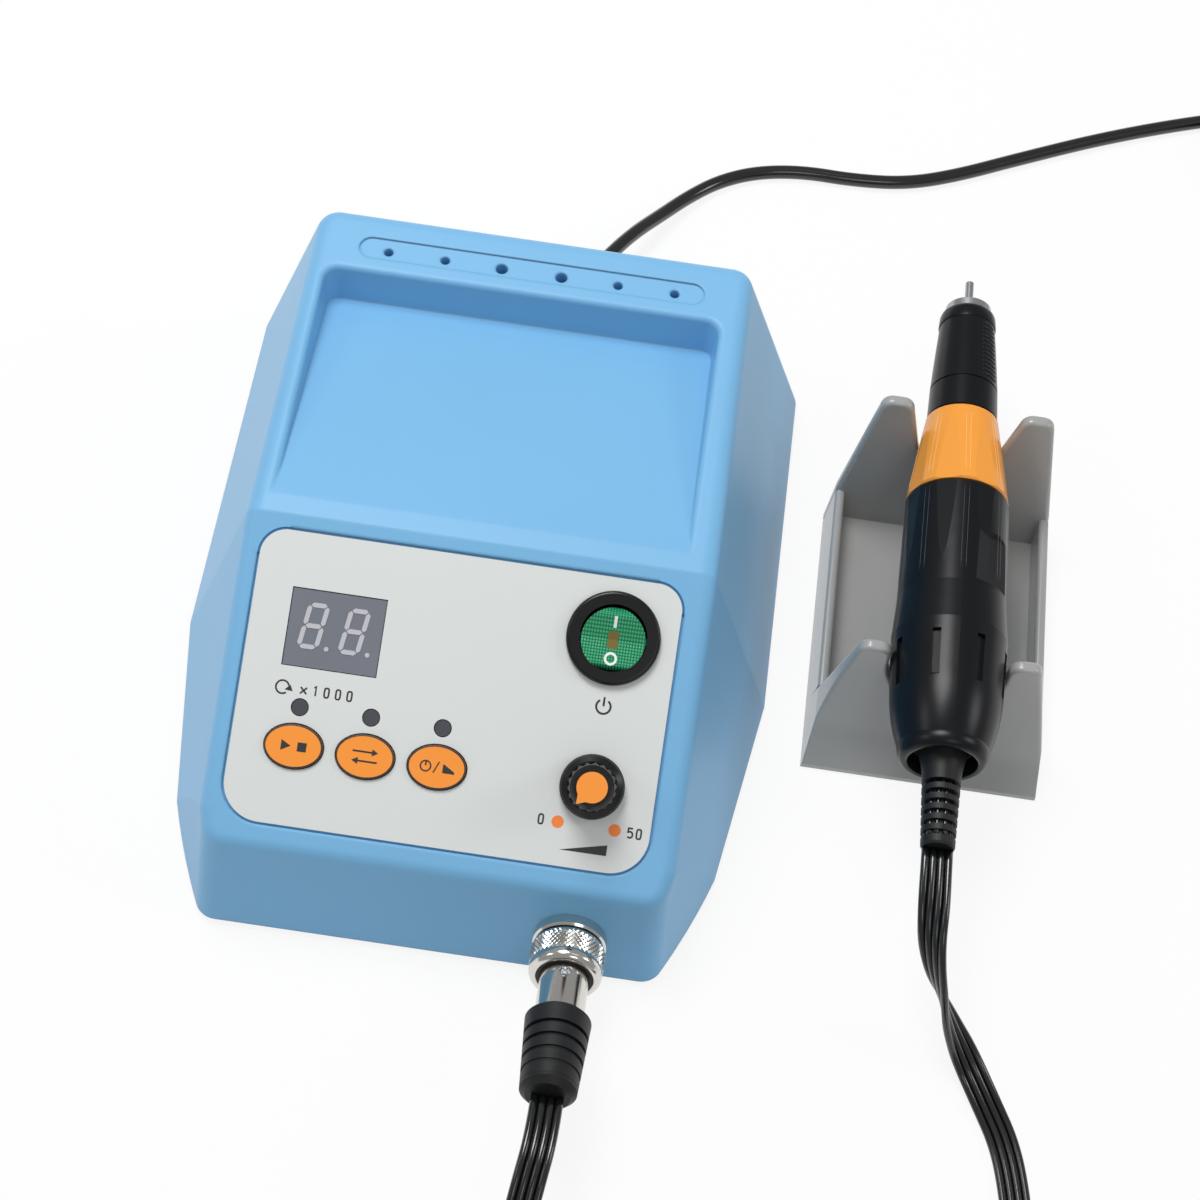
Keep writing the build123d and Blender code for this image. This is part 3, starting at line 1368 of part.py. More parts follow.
# ---------------------------------------------------------------- the cords
def corner_radii(route):
    """At each corner, the largest arc that leaves a tenth of the shorter run straight."""
    radii = []
    for before, here, after in zip(route, route[1:], route[2:]):
        arriving = Vector(*here) - Vector(*before)
        leaving = Vector(*after) - Vector(*here)
        turn = radians(arriving.get_angle(leaving))
        radii.append(0.45 * min(arriving.length, leaving.length) / tan(turn / 2))
    return radii


for name, route, diameter in (
    ("hand_cord", hand_cord_route, motor_cord_diameter),
    ("socket_cord", socket_cord_route, motor_cord_diameter),
    ("mains_cord", mains_route, mains_diameter),
    ("mains_tail", mains_tail_route, mains_diameter),
):
    radii = corner_radii(route)
    with BuildPart() as cord:
        with BuildLine() as path:
            FilletPolyline(*route, radius=radii)
        middle = path.wires()[0]
        with BuildSketch(Plane(origin=middle @ 0, z_dir=middle % 0)):
            Circle(diameter / 2)
        sweep(path=middle)
    share = cord.part.volume / (pi * diameter**2 / 4 * middle.length)
    print(f"{name}: {middle.length:.0f} mm long, volume over section times length {share:.4f}, radii",
          [round(radius, 1) for radius in radii])
    cord.part.label = name
    export_step(cord.part, f"parts/{name}.step")

for name, place, inside, outside, height in (
    ("motor_coil", (motor_coil_x, motor_coil_y), motor_coil_inside, motor_coil_outside, motor_coil_height),
    ("mains_coil", (mains_coil_x, mains_coil_y), mains_coil_inside, mains_coil_outside, mains_coil_height),
):
    with BuildPart() as coil:
        with BuildSketch():
            with Locations(place):
                Circle(outside)
                Circle(inside, mode=Mode.SUBTRACT)
        extrude(amount=height)
        fillet(coil.edges().filter_by(GeomType.CIRCLE), radius=diameter / 2 - 0.2)
    coil.part.label = name
    export_step(coil.part, f"parts/{name}.step")

plug_end_x, plug_end_y, plug_end_z = mains_tail_route[-1]
plug_face = Plane(origin=(plug_end_x, plug_end_y, plug_end_z), x_dir=(1, 0, 0), z_dir=(0, -1, 0))
with BuildPart() as mains_plug:
    # the tapered sleeve round the cord, then the body
    with BuildSketch(plug_face):
        Circle(mains_radius + 1.2)
    with BuildSketch(plug_face.offset(plug_relief_length)):
        Circle(mains_radius + 2.4)
    loft()
    with BuildSketch(plug_face.offset(plug_relief_length)):
        RectangleRounded(mains_plug_width * 0.6, mains_plug_height * 0.8, 4)
    with BuildSketch(plug_face.offset(plug_relief_length + mains_plug_length * 0.45)):
        RectangleRounded(mains_plug_width, mains_plug_height, 4)
    loft()
    with BuildSketch(plug_face.offset(plug_relief_length + mains_plug_length * 0.45)):
        RectangleRounded(mains_plug_width, mains_plug_height, 4)
    extrude(amount=mains_plug_length * 0.55)
mains_plug.part.label = "mains_plug"
export_step(mains_plug.part, "parts/mains_plug.step")

with BuildPart() as plug_pins:
    with BuildSketch(plug_face.offset(plug_relief_length + mains_plug_length)):
        with Locations((-plug_pin_pitch / 2, 0), (plug_pin_pitch / 2, 0)):
            Circle(plug_pin_diameter / 2)
    extrude(amount=plug_pin_length)
    fillet(plug_pins.faces().sort_by(Axis.Y)[:2].edges(), radius=1.2)
plug_pins.part.label = "plug_pins"
export_step(plug_pins.part, "parts/plug_pins.step")
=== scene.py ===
# %% [markdown]
# # Dressing a bench micromotor set
#
# The set has three things on a bench: a moulded control box, an electric handpiece and the cradle that
# the handpiece lies in. The solids come from the CAD model, at their real size. This lesson gives each
# solid the finish of the real material, and adds what is too fine or too soft for CAD: cords, knurling,
# printed marks and small grooves.
#
# Everything is in metres, in the frame of the CAD model: +Z up, +Y from the sloping panel to the back.

import json
import math

import bmesh
import bpy
from mathutils import Matrix, Quaternion, Vector

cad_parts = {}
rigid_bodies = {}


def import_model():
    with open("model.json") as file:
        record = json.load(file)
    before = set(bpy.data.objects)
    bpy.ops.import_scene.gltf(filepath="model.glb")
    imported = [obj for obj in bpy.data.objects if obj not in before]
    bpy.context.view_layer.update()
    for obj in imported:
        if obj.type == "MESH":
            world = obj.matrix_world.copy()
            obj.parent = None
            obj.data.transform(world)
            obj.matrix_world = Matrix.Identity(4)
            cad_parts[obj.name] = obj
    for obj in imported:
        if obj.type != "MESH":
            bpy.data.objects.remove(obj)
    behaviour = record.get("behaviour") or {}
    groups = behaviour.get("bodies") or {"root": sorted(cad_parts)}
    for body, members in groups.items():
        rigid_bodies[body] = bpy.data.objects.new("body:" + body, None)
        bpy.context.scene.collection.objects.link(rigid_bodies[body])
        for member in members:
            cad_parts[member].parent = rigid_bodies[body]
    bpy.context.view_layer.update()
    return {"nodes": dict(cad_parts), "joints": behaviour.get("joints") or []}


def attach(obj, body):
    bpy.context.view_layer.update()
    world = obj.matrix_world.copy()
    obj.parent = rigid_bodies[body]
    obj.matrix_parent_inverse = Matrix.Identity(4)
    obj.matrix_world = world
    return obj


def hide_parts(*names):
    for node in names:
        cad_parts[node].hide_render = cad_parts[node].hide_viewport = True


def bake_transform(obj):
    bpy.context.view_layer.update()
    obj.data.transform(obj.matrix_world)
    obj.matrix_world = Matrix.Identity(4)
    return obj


MM = 0.001


def new_object(name, data):
    """A new object in the scene."""
    made = bpy.data.objects.new(name, data)
    bpy.context.scene.collection.objects.link(made)
    return made


for leftover in list(bpy.data.objects):
    bpy.data.objects.remove(leftover)
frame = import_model()

# %% [markdown]
# ## Camera
#
# A bench unit is best shown from high up in front with a long lens, so that upright edges lean only a
# little. The camera is placed by its axes instead of by angles, because a camera that is also rolled is
# easier to read as three directions: its right, its up and the way that it looks back.

# %% Place the camera
camera_place = Vector((-3.2, -294.5, 524.0)) * MM
camera_right = Vector((0.9894, 0.1288, 0.0671)).normalized()
camera_back = Vector((0.0063, -0.4999, 0.8660)).normalized()
camera_right = (camera_right - camera_back * camera_right.dot(camera_back)).normalized()
camera_up = camera_back.cross(camera_right)

camera_data = bpy.data.cameras.new("product_camera")
camera_data.sensor_width = 36.0
camera_data.lens = 66.03
camera_data.clip_start = 0.01
camera = new_object("product_camera", camera_data)
camera.matrix_world = Matrix((
    (camera_right.x, camera_up.x, camera_back.x, camera_place.x),
    (camera_right.y, camera_up.y, camera_back.y, camera_place.y),
    (camera_right.z, camera_up.z, camera_back.z, camera_place.z),
    (0, 0, 0, 1),
))
bpy.context.scene.camera = camera
print("camera at", [round(c, 4) for c in camera.location], "m")

# %% [markdown]
# ## The cords' routes
#
# A cord lies in long smooth curves, so its line is one NURBS spline, and a short list of points steers
# it. What isn't coiled has its points listed one by one.
#
# The flat motor cord is four thin round strands side by side. It leaves the sleeve behind the handpiece,
# turns over once on its way down, runs to a coil in front of the set and comes back to the round
# connector in the box.

# %% Routes of the motor cord and the mains cord
STRAND = 2.0 * MM
MAINS = 4.2 * MM

hand_route = [
    (83.4, -68.33, 36.0), (83.4, -80.4, 36.0), (84.5, -93.7, 29.0), (92.0, -101.9, 14.0),
    (98.9, -108.4, 4.5), (104.9, -117.9, 1.6), (110.2, -127.9, 1.1), (113.0, -139.9, 1.1),
    (114.7, -153.4, 1.1), (115.2, -168.4, 1.1), (114.8, -186.4, 1.1),
]
socket_route = [
    (58.4, -247.2, 11.8), (42.4, -245.2, 8.0), (26.9, -240.4, 4.2), (13.4, -231.9, 2.0),
    (3.4, -220.4, 1.2), (-3.1, -207.4, 1.6), (-5.0, -194.9, 5.0), (-5.4, -184.4, 13.5),
    (-4.8, -174.2, 24.0), (-3.4, -162.9, 30.5), (-1.8, -151.1, 31.9), (-1.8, -141.13, 28.73),
]
mains_route = [
    (-25.8, 104.0, 14.3), (-20.8, 114.8, 12.9), (-13.5, 129.2, 9.5), (-6.0, 141.2, 5.4),
    (1.5, 152.0, 2.9), (10.2, 160.6, 2.1), (21.4, 166.4, 2.1), (35.5, 169.2, 2.1),
    (51.6, 168.8, 2.1), (67.9, 170.6, 2.1), (83.4, 176.8, 2.1), (102.4, 187.1, 2.1),
    (129.4, 201.1, 2.1), (157.4, 213.1, 2.1), (181.4, 221.2, 2.1),
]
mains_tail_route = [
    (226.3, 186.6, 17.2), (225.4, 174.1, 12.4), (224.8, 162.6, 7.6), (224.8, 151.6, 7.0),
]
print("points chosen by hand:", len(hand_route + socket_route), "and", len(mains_route + mains_tail_route))

# %% [markdown]
# Each coil is a loop that adds a few points for each turn. The flat cord lies on itself. The round cord
# lies in two columns, and at the end of a turn it climbs or changes over to the next place.

# %% Coils of the two cords
COIL_STEPS = 18
FLAT_RADIUS, FLAT_LOWEST, FLAT_LAY = 42.0, 1.1, 2.82
MAINS_INNER, MAINS_OUTER, MAINS_LAYER = 21.4, 25.6, 4.2
MAINS_LOWEST, MAINS_LAST = 2.1, 18.3
CLIMB_SHARE, CLIMB_SWING = 0.22, 1.6


def round_coil(centre, start_angle, turns, place):
    """Points clockwise round a centre; place gives the radius and the height after so many turns."""
    points = []
    for step in range(round(turns * COIL_STEPS) + 1):
        turn = step / COIL_STEPS
        radius, height = place(turn)
        angle = start_angle - turn * 2 * math.pi
        # the spline runs inside its control points, so they stand a little further out
        reach = radius / math.cos(math.pi / COIL_STEPS)
        points.append((centre[0] + reach * math.cos(angle), centre[1] + reach * math.sin(angle), height))
    return points


def flat_coil_place(turn):
    """The flat cord lies on itself: the radius stays, and the height grows by its lay."""
    return FLAT_RADIUS, FLAT_LOWEST + FLAT_LAY * turn


def mains_coil_place(turn):
    """Two columns of turns, four layers high, and a last stretch in the groove between the top turns."""
    columns = (MAINS_OUTER, MAINS_INNER, MAINS_INNER, MAINS_OUTER) * 2
    spots = [(radius, MAINS_LOWEST + lap // 2 * MAINS_LAYER) for lap, radius in enumerate(columns)]
    spots.append(((MAINS_INNER + MAINS_OUTER) / 2, MAINS_LAST))
    now = min(int(turn), len(spots) - 1)
    later = min(now + 1, len(spots) - 1)
    share = max(0.0, (turn - now - 1 + CLIMB_SHARE) / CLIMB_SHARE)
    share = share * share * (3 - 2 * share)
    (radius, height), (next_radius, next_height) = spots[now], spots[later]
    # a turn that climbs also swings out, round the turn that it passes
    swing = CLIMB_SWING * math.sin(math.pi * share) if radius == next_radius else 0.0
    side = 1 if radius == MAINS_OUTER else -1
    return radius + (next_radius - radius) * share + side * swing, height + (next_height - height) * share


motor_points = (
    hand_route
    + round_coil((72.0, -204.3), start_angle=0.0, turns=4.25, place=flat_coil_place)
    + socket_route
)
mains_points = (
    mains_route
    + round_coil((203.0, 199.7), start_angle=math.pi / 2, turns=8.25, place=mains_coil_place)
    + mains_tail_route
)
print("points with the coils:", len(motor_points), "and", len(mains_points))

# %% [markdown]
# Blender turns each list of points into a smooth line. The spline needs its order and its end setting
# after its points are there. The length of the line is the length of the cord.

# %% Lines of the two cords
def line_through(name, points_mm):
    """Points along the open NURBS spline that the control points steer, and the length of their line."""
    data = bpy.data.curves.new(name, "CURVE")
    data.dimensions = "3D"
    spline = data.splines.new("NURBS")
    spline.points.add(len(points_mm) - 1)
    for point, place in zip(spline.points, points_mm):
        point.co = (*(Vector(place) * MM), 1.0)
    spline.order_u = 3
    spline.use_endpoint_u = True
    data.resolution_u = 8
    curve = new_object(name, data)
    mesh = bpy.data.meshes.new_from_object(curve)
    line = [v.co.copy() for v in mesh.vertices]
    bpy.data.meshes.remove(mesh)
    bpy.data.objects.remove(curve)
    return line, sum((b - a).length for a, b in zip(line, line[1:]))


motor_line, motor_length = line_through("motor_cord_line", motor_points)
mains_line, mains_length = line_through("mains_cord_line", mains_points)
print("motor cord", round(motor_length, 3), "m; mains cord", round(mains_length, 3), "m")

# %% [markdown]
# ## The flat cord's four strands
#
# Real flat cord is four round wires moulded side by side, with a bright line of light along each. A tube
# is swept along four lines that run beside the spline. The sideways direction at each point is square
# to the cord and level, and over the first stretch it rolls through half a turn, which is how the cord
# comes off the handpiece.

# %% Sweep the strands
STRAND_PITCH = 1.93 * MM
ROLL_START = 3 * MM
ROLL_LENGTH = 60 * MM
STRAND_SIDES = 10
MAINS_SIDES = 20


def mesh_object(name, vertices, faces, smooth=True):
    """An object from vertices and faces, its faces turned outwards."""
    mesh = bpy.data.meshes.new(name)
    mesh.from_pydata(vertices, [], faces)
    shape = bmesh.new()
    shape.from_mesh(mesh)
    bmesh.ops.recalc_face_normals(shape, faces=shape.faces)
    shape.to_mesh(mesh)
    shape.free()
    for polygon in mesh.polygons:
        polygon.use_smooth = smooth
    return new_object(name, mesh)


def tube_faces(first, rings, sides, closed=False):
    """Faces between rings of vertices that follow each other; an open tube also gets its two end faces."""
    faces = []
    for ring in range(rings if closed else rings - 1):
        low, high = first + ring * sides, first + (ring + 1) % rings * sides
        faces += [(low + k, low + (k + 1) % sides, high + (k + 1) % sides, high + k) for k in range(sides)]
    if not closed:
        last = first + (rings - 1) * sides
        faces += [tuple(range(first, first + sides))[::-1], tuple(range(last, last + sides))]
    return faces


def cord_frames(line, half_turns=0):
    """Place, sideways and upward direction at each point of a cord's line, rolled near its start."""
    frames = []
    run = 0.0
    for index, place in enumerate(line):
        before, after = line[max(index - 1, 0)], line[min(index + 1, len(line) - 1)]
        run += (place - before).length
        along = (after - before).normalized()
        side = along.cross(Vector((0, 0, 1))).normalized()
        share = min(max((run - ROLL_START) / ROLL_LENGTH, 0.0), 1.0)
        roll = half_turns * math.pi * share * share * (3 - 2 * share)
        side.rotate(Quaternion(along, roll))
        frames.append((place, side, side.cross(along).normalized()))
    return frames


def sweep(frames, offsets, radius, sides):
    """Vertices and faces of round strands, each at its sideways offset from the cord's line."""
    vertices, faces = [], []
    for offset in offsets:
        first = len(vertices)
        for place, side, lift in frames:
            middle = place + side * offset
            for k in range(sides):
                angle = 2 * math.pi * k / sides
                vertices.append(middle + side * radius * math.cos(angle) + lift * radius * math.sin(angle))
        faces += tube_faces(first, len(frames), sides)
    return vertices, faces


strand_offsets = [STRAND_PITCH * k for k in (-1.5, -0.5, 0.5, 1.5)]
motor_frames = cord_frames(motor_line, half_turns=1)
motor_cord = mesh_object("motor_cord", *sweep(motor_frames, strand_offsets, STRAND / 2, STRAND_SIDES))
mains_cord = mesh_object("mains_cord_tube", *sweep(cord_frames(mains_line), [0.0], MAINS / 2, MAINS_SIDES))
print("cords have", len(motor_cord.data.polygons) + len(mains_cord.data.polygons), "faces")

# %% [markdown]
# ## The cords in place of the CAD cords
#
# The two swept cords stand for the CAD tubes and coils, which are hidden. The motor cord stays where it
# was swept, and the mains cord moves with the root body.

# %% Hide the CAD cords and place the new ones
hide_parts("hand_cord", "motor_coil", "socket_cord")
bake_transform(motor_cord)

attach(mains_cord, "root")
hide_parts("mains_cord", "mains_coil", "mains_tail")

# %% [markdown]
# ## Colours and nodes
#
# Colours are written as sRGB hex values, and one function turns them to the linear values that a shader
# works with. Another adds a node with its settings and links, which keeps each material short.

# %% Helpers for colours and nodes
def linear(hex_code):
    """A linear colour with alpha 1 from an sRGB hex value."""
    parts = [int(hex_code[i:i + 2], 16) / 255 for i in (1, 3, 5)]
    return (*[c / 12.92 if c <= 0.04045 else ((c + 0.055) / 1.055) ** 2.4 for c in parts], 1.0)


def add_node(material, kind, inputs=None, **settings):
    """A node with its settings; inputs maps a socket to a value, or to another node's output."""
    tree = material.node_tree
    node = tree.nodes.new(kind)
    for name, value in settings.items():
        setattr(node, name, value)
    for socket, value in (inputs or {}).items():
        if isinstance(value, bpy.types.NodeSocket):
            tree.links.new(value, node.inputs[socket])
        else:
            node.inputs[socket].default_value = value
    return node


def new_material(name):
    """An empty node material and its Principled shader."""
    material = bpy.data.materials.new(name)
    material.use_nodes = True
    return material, material.node_tree.nodes["Principled BSDF"]


def link(material, output, socket):
    material.node_tree.links.new(output, socket)


# %% [markdown]
# ## Floor and light
#
# The floor is a white sheet that also glows, but only for the eye and in reflections: it stays white
# behind the set, takes a faint shadow and lights nothing.

# %% Floor
FLOOR_REACH = 30.0
FLOOR_GLOW = 0.87

corners = [(x * FLOOR_REACH, y * FLOOR_REACH, 0.0) for x, y in ((-1, -1), (1, -1), (1, 1), (-1, 1))]
floor = mesh_object("floor_sheet", corners, [(0, 1, 2, 3)])
floor_material, floor_shader = new_material("matt_white_paper")
floor_shader.inputs["Base Color"].default_value = linear("#F4F4F4")
floor_shader.inputs["Roughness"].default_value = 0.9
rays = add_node(floor_material, "ShaderNodeLightPath")
glow = add_node(floor_material, "ShaderNodeEmission", {"Color": (1, 1, 1, 1), "Strength": 1.0})
seen = rays.outputs["Is Camera Ray"]
for kind in ("Is Glossy Ray", "Is Transmission Ray"):
    seen = add_node(floor_material, "ShaderNodeMath",
                    {0: seen, 1: rays.outputs[kind]}, operation="MAXIMUM").outputs[0]
glow_share = add_node(floor_material, "ShaderNodeMath", {0: seen, 1: FLOOR_GLOW}, operation="MULTIPLY")
mixed = add_node(floor_material, "ShaderNodeMixShader",
                 {0: glow_share.outputs[0], 1: floor_shader.outputs[0], 2: glow.outputs[0]})
link(floor_material, mixed.outputs[0], floor_material.node_tree.nodes["Material Output"].inputs["Surface"])
floor.data.materials.append(floor_material)
print("the floor reaches", FLOOR_REACH, "m each way")

# %% [markdown]
# A wide soft lamp stands over the back of the set, and three weaker ones fill from the front and the
# sides, so the top faces are the lightest and the front wall is a shade darker. The world adds an even
# light from all round.

# %% World and lamps
WORLD_STRENGTH = 0.36

world = bpy.data.worlds.new("soft_room")
world.use_nodes = True
world.node_tree.nodes["Background"].inputs["Color"].default_value = linear("#FFFFFF")
world.node_tree.nodes["Background"].inputs["Strength"].default_value = WORLD_STRENGTH
bpy.context.scene.world = world
bpy.context.scene.view_settings.view_transform = "Standard"


def soft_lamp(name, place, size, watts):
    """A square soft lamp that faces the middle of the set."""
    data = bpy.data.lights.new(name, "AREA")
    data.size = size
    data.energy = watts
    lamp = new_object(name, data)
    lamp.location = place
    lamp.rotation_euler = (-Vector(place)).to_track_quat("-Z", "Y").to_euler()
    print(name, "has", watts, "W at", place)


soft_lamp("top_lamp", (-0.28, 0.35, 1.15), size=0.5, watts=9.2)
soft_lamp("left_lamp", (-1.1, -0.1, 0.9), size=0.35, watts=1.2)
soft_lamp("front_lamp", (0.35, -0.75, 1.15), size=0.4, watts=1.2)
soft_lamp("right_lamp", (1.1, 0.1, 0.8), size=0.35, watts=2.2)

# %% [markdown]
# ## Where things are on the model
#
# The printed marks need the sloping panel as a drawing board. Two joints of the model give it: the speed
# knob turns about the panel's normal, and its place is known on the panel. The round connector does the
# same for the front wall, and the spindle gives the handpiece's axis.

# %% Drawing boards on the panel, the front wall and the handpiece
joints = {joint["name"]: joint for joint in frame["joints"]}
KNOB_UV = (35.1, 25.7)

panel_normal = -Vector(joints["knob_turn"]["axis"])
panel_right = Vector((1, 0, 0))
panel_up = panel_normal.cross(panel_right)
panel_corner = (Vector(joints["knob_turn"]["pos_m"])
                - panel_right * KNOB_UV[0] * MM - panel_up * KNOB_UV[1] * MM)


def on_panel(u, v, height=0.0):
    """A point on the sloping panel: u across, v up from the front fold, both in mm; height in metres."""
    return panel_corner + panel_right * u * MM + panel_up * v * MM + panel_normal * height


front_normal = Vector(joints["ring_turn"]["axis"])
plug_middle = Vector(joints["ring_turn"]["pos_m"])
hand_middle = Vector(joints["spindle_spin"]["pos_m"])
print("panel tilts", round(math.degrees(math.acos(panel_normal.z)), 1), "degrees")


def dress(material, *names):
    """Gives the material to nodes of the CAD model."""
    for name in names:
        node = frame["nodes"][name]
        if not node.material_slots:
            node.data.materials.append(material)
        for slot_of_node in node.material_slots:
            slot_of_node.material = material
    print(material.name, "on", ", ".join(names))


# %% [markdown]
# ## Moulded ABS for the control box
#
# The box is injection-moulded ABS, dyed light blue, with the fine spark-eroded grain of its mould. ABS has
# an IOR of 1.54. The grain is about 0.4 mm across and very shallow, which breaks the reflections into a
# satin sheen without making the surface look rough. A slow change in tone keeps large faces from looking
# like paper. Moulded edges are never sharp, so the shader softens them over about a millimetre.

# %% Material: moulded blue ABS
SLOW_SCALE = 18.0
ROUGHNESS_SPREAD = 0.04
ABS_IOR = 1.54
COAT_ROUGHNESS = 0.12


def grained_plastic(name, colour, roughness, grain_mm, grain_depth,
                    tone=0.03, coat=0.0, gloss=0.5, edge_mm=0.0):
    """Moulded plastic: a dyed colour, a fine grain, a slow change of tone and, if asked, softened edges."""
    material, shader = new_material(name)
    where = add_node(material, "ShaderNodeTexCoord")
    slow = add_node(material, "ShaderNodeTexNoise",
                    {"Vector": where.outputs["Object"], "Scale": SLOW_SCALE, "Detail": 2.0})
    shift = add_node(material, "ShaderNodeMapRange",
                     {"Value": slow.outputs["Fac"], "To Min": 1.0 - tone, "To Max": 1.0 + tone})
    tint = add_node(material, "ShaderNodeHueSaturation",
                    {"Color": linear(colour), "Value": shift.outputs["Result"]})
    grain = add_node(material, "ShaderNodeTexNoise",
                     {"Vector": where.outputs["Object"], "Scale": 1.0 / (grain_mm * MM), "Detail": 3.0})
    bump = add_node(material, "ShaderNodeBump",
                    {"Height": grain.outputs["Fac"], "Distance": grain_depth * MM, "Strength": 1.0})
    if edge_mm:
        edge = add_node(material, "ShaderNodeBevel", {"Radius": edge_mm * MM}, samples=6)
        link(material, edge.outputs["Normal"], bump.inputs["Normal"])
    spread = add_node(material, "ShaderNodeMapRange", {
        "Value": slow.outputs["Fac"], "To Min": roughness - ROUGHNESS_SPREAD,
        "To Max": roughness + ROUGHNESS_SPREAD})
    link(material, tint.outputs["Color"], shader.inputs["Base Color"])
    link(material, bump.outputs["Normal"], shader.inputs["Normal"])
    link(material, spread.outputs["Result"], shader.inputs["Roughness"])
    shader.inputs["IOR"].default_value = ABS_IOR
    shader.inputs["Specular IOR Level"].default_value = gloss
    shader.inputs["Coat Weight"].default_value = coat
    shader.inputs["Coat Roughness"].default_value = COAT_ROUGHNESS
    return material


blue_abs = grained_plastic("moulded_blue_abs", "#79B6E1", 0.40, 0.4, 0.02, gloss=0.32, edge_mm=1.2)
dress(blue_abs, "housing")

# %% [markdown]
# ## The cradle and the small black mouldings
#
# The cradle is a glossier pale grey ABS. The bezel of the round switch and the knob are black nylon, and
# the plate under the box is black ABS with a coarser grain.

# %% Materials: grey and black mouldings
grey_abs = grained_plastic("moulded_grey_abs", "#A2A3A2", 0.24, 0.9, 0.004, tone=0.02, coat=0.3, edge_mm=0.7)
black_nylon = grained_plastic("moulded_black_nylon", "#0E0F11", 0.28, 0.35, 0.006, tone=0.10, gloss=0.35)
black_abs = grained_plastic("moulded_black_abs", "#1B1C1E", 0.50, 0.6, 0.02, tone=0.10)
dress(grey_abs, "cradle")
dress(black_nylon, "switch_housing", "speed_knob", "mains_plug", "tact_switches")
dress(black_abs, "base_plate", "brush_carrier")

# %% [markdown]
# ## Printed polyester film, keys and small windows
#
# The label is polyester film printed from behind with a pale grey, under a fine matt texture. The keys
# show a film of the same kind in orange. The display is a smoked plastic face over pale segments that
# aren't lit, and the round windows above the keys are the same smoked plastic.

# %% Materials: films and windows
label_film = grained_plastic("matt_polyester_film", "#DDE1DF", 0.42, 0.25, 0.006, tone=0.012)
orange_film = grained_plastic("orange_key_film", "#FF9A34", 0.40, 0.3, 0.012, tone=0.02)
smoked_face = grained_plastic("smoked_display_face", "#787C86", 0.16, 1.2, 0.0015, tone=0.10)
pale_segment = grained_plastic("unlit_segment", "#C4C4CA", 0.25, 1.0, 0.002, tone=0.05)
smoked_window = grained_plastic("smoked_window", "#45484E", 0.35, 0.5, 0.002, tone=0.06)
dress(label_film, "panel_label")
dress(orange_film, "start_key", "direction_key", "hand_foot_key", "knob_pointer")
dress(smoked_face, "display_module")
dress(pale_segment, "display_segments")
dress(smoked_window, "indicator_leds")

# %% [markdown]
# ## The green rocker
#
# The rocker is clear green polycarbonate, IOR 1.58, with rows of small prisms moulded on its underside
# that spread the light of its lamp. The prisms show as a fine dotted grid, so the grid is drawn as two
# crossed waves at their real pitch of 0.7 mm, in colour and in bump.

# %% Material: green prism lens
green_lens, green_shader = new_material("green_polycarbonate_lens")
lens_where = add_node(green_lens, "ShaderNodeTexCoord")
PRISM = 0.7 * MM
WAVES_PER_SCALE = 0.314
rows_and_columns = [
    add_node(green_lens, "ShaderNodeTexWave",
             {"Vector": lens_where.outputs["Object"], "Scale": WAVES_PER_SCALE / PRISM}, bands_direction=way)
    for way in "XY"]
prisms = add_node(green_lens, "ShaderNodeMath",
                  {index: wave.outputs["Fac"] for index, wave in enumerate(rows_and_columns)},
                  operation="MULTIPLY")
lens_colour = add_node(green_lens, "ShaderNodeMix",
                       {"Factor": prisms.outputs[0], "A": linear("#0E8A58"), "B": linear("#5CE0A8")},
                       data_type="RGBA")
lens_bump = add_node(green_lens, "ShaderNodeBump", {"Height": prisms.outputs[0], "Distance": 0.05 * MM})
link(green_lens, lens_colour.outputs["Result"], green_shader.inputs["Base Color"])
link(green_lens, lens_bump.outputs["Normal"], green_shader.inputs["Normal"])
green_shader.inputs["Roughness"].default_value = 0.12
green_shader.inputs["IOR"].default_value = 1.58
green_shader.inputs["Transmission Weight"].default_value = 0.25
dress(green_lens, "power_rocker")

# %% [markdown]
# ## Metals
#
# The connector is nickel-plated brass: bright, slightly warm, nearly a mirror. The shank and the nose of
# the handpiece are ground steel with fine marks. Screws share one zinc-plated finish, and the laminated
# cores of the transformer and the motor are darker steel. Metals keep the default IOR.

# %% Materials: nickel, ground steel, zinc plate, brass
SMOOTHEST, ROUGHEST = 0.8, 1.3


def plated_metal(name, colour, roughness, mark_mm, mark_depth):
    """Metal with fine marks from its turning or plating."""
    material, shader = new_material(name)
    where = add_node(material, "ShaderNodeTexCoord")
    marks = add_node(material, "ShaderNodeTexNoise",
                     {"Vector": where.outputs["Object"], "Scale": 1.0 / (mark_mm * MM), "Detail": 2.0})
    spread = add_node(material, "ShaderNodeMapRange", {
        "Value": marks.outputs["Fac"], "To Min": roughness * SMOOTHEST, "To Max": roughness * ROUGHEST})
    bump = add_node(material, "ShaderNodeBump", {"Height": marks.outputs["Fac"], "Distance": mark_depth * MM})
    shader.inputs["Base Color"].default_value = linear(colour)
    shader.inputs["Metallic"].default_value = 1.0
    link(material, spread.outputs["Result"], shader.inputs["Roughness"])
    link(material, bump.outputs["Normal"], shader.inputs["Normal"])
    return material


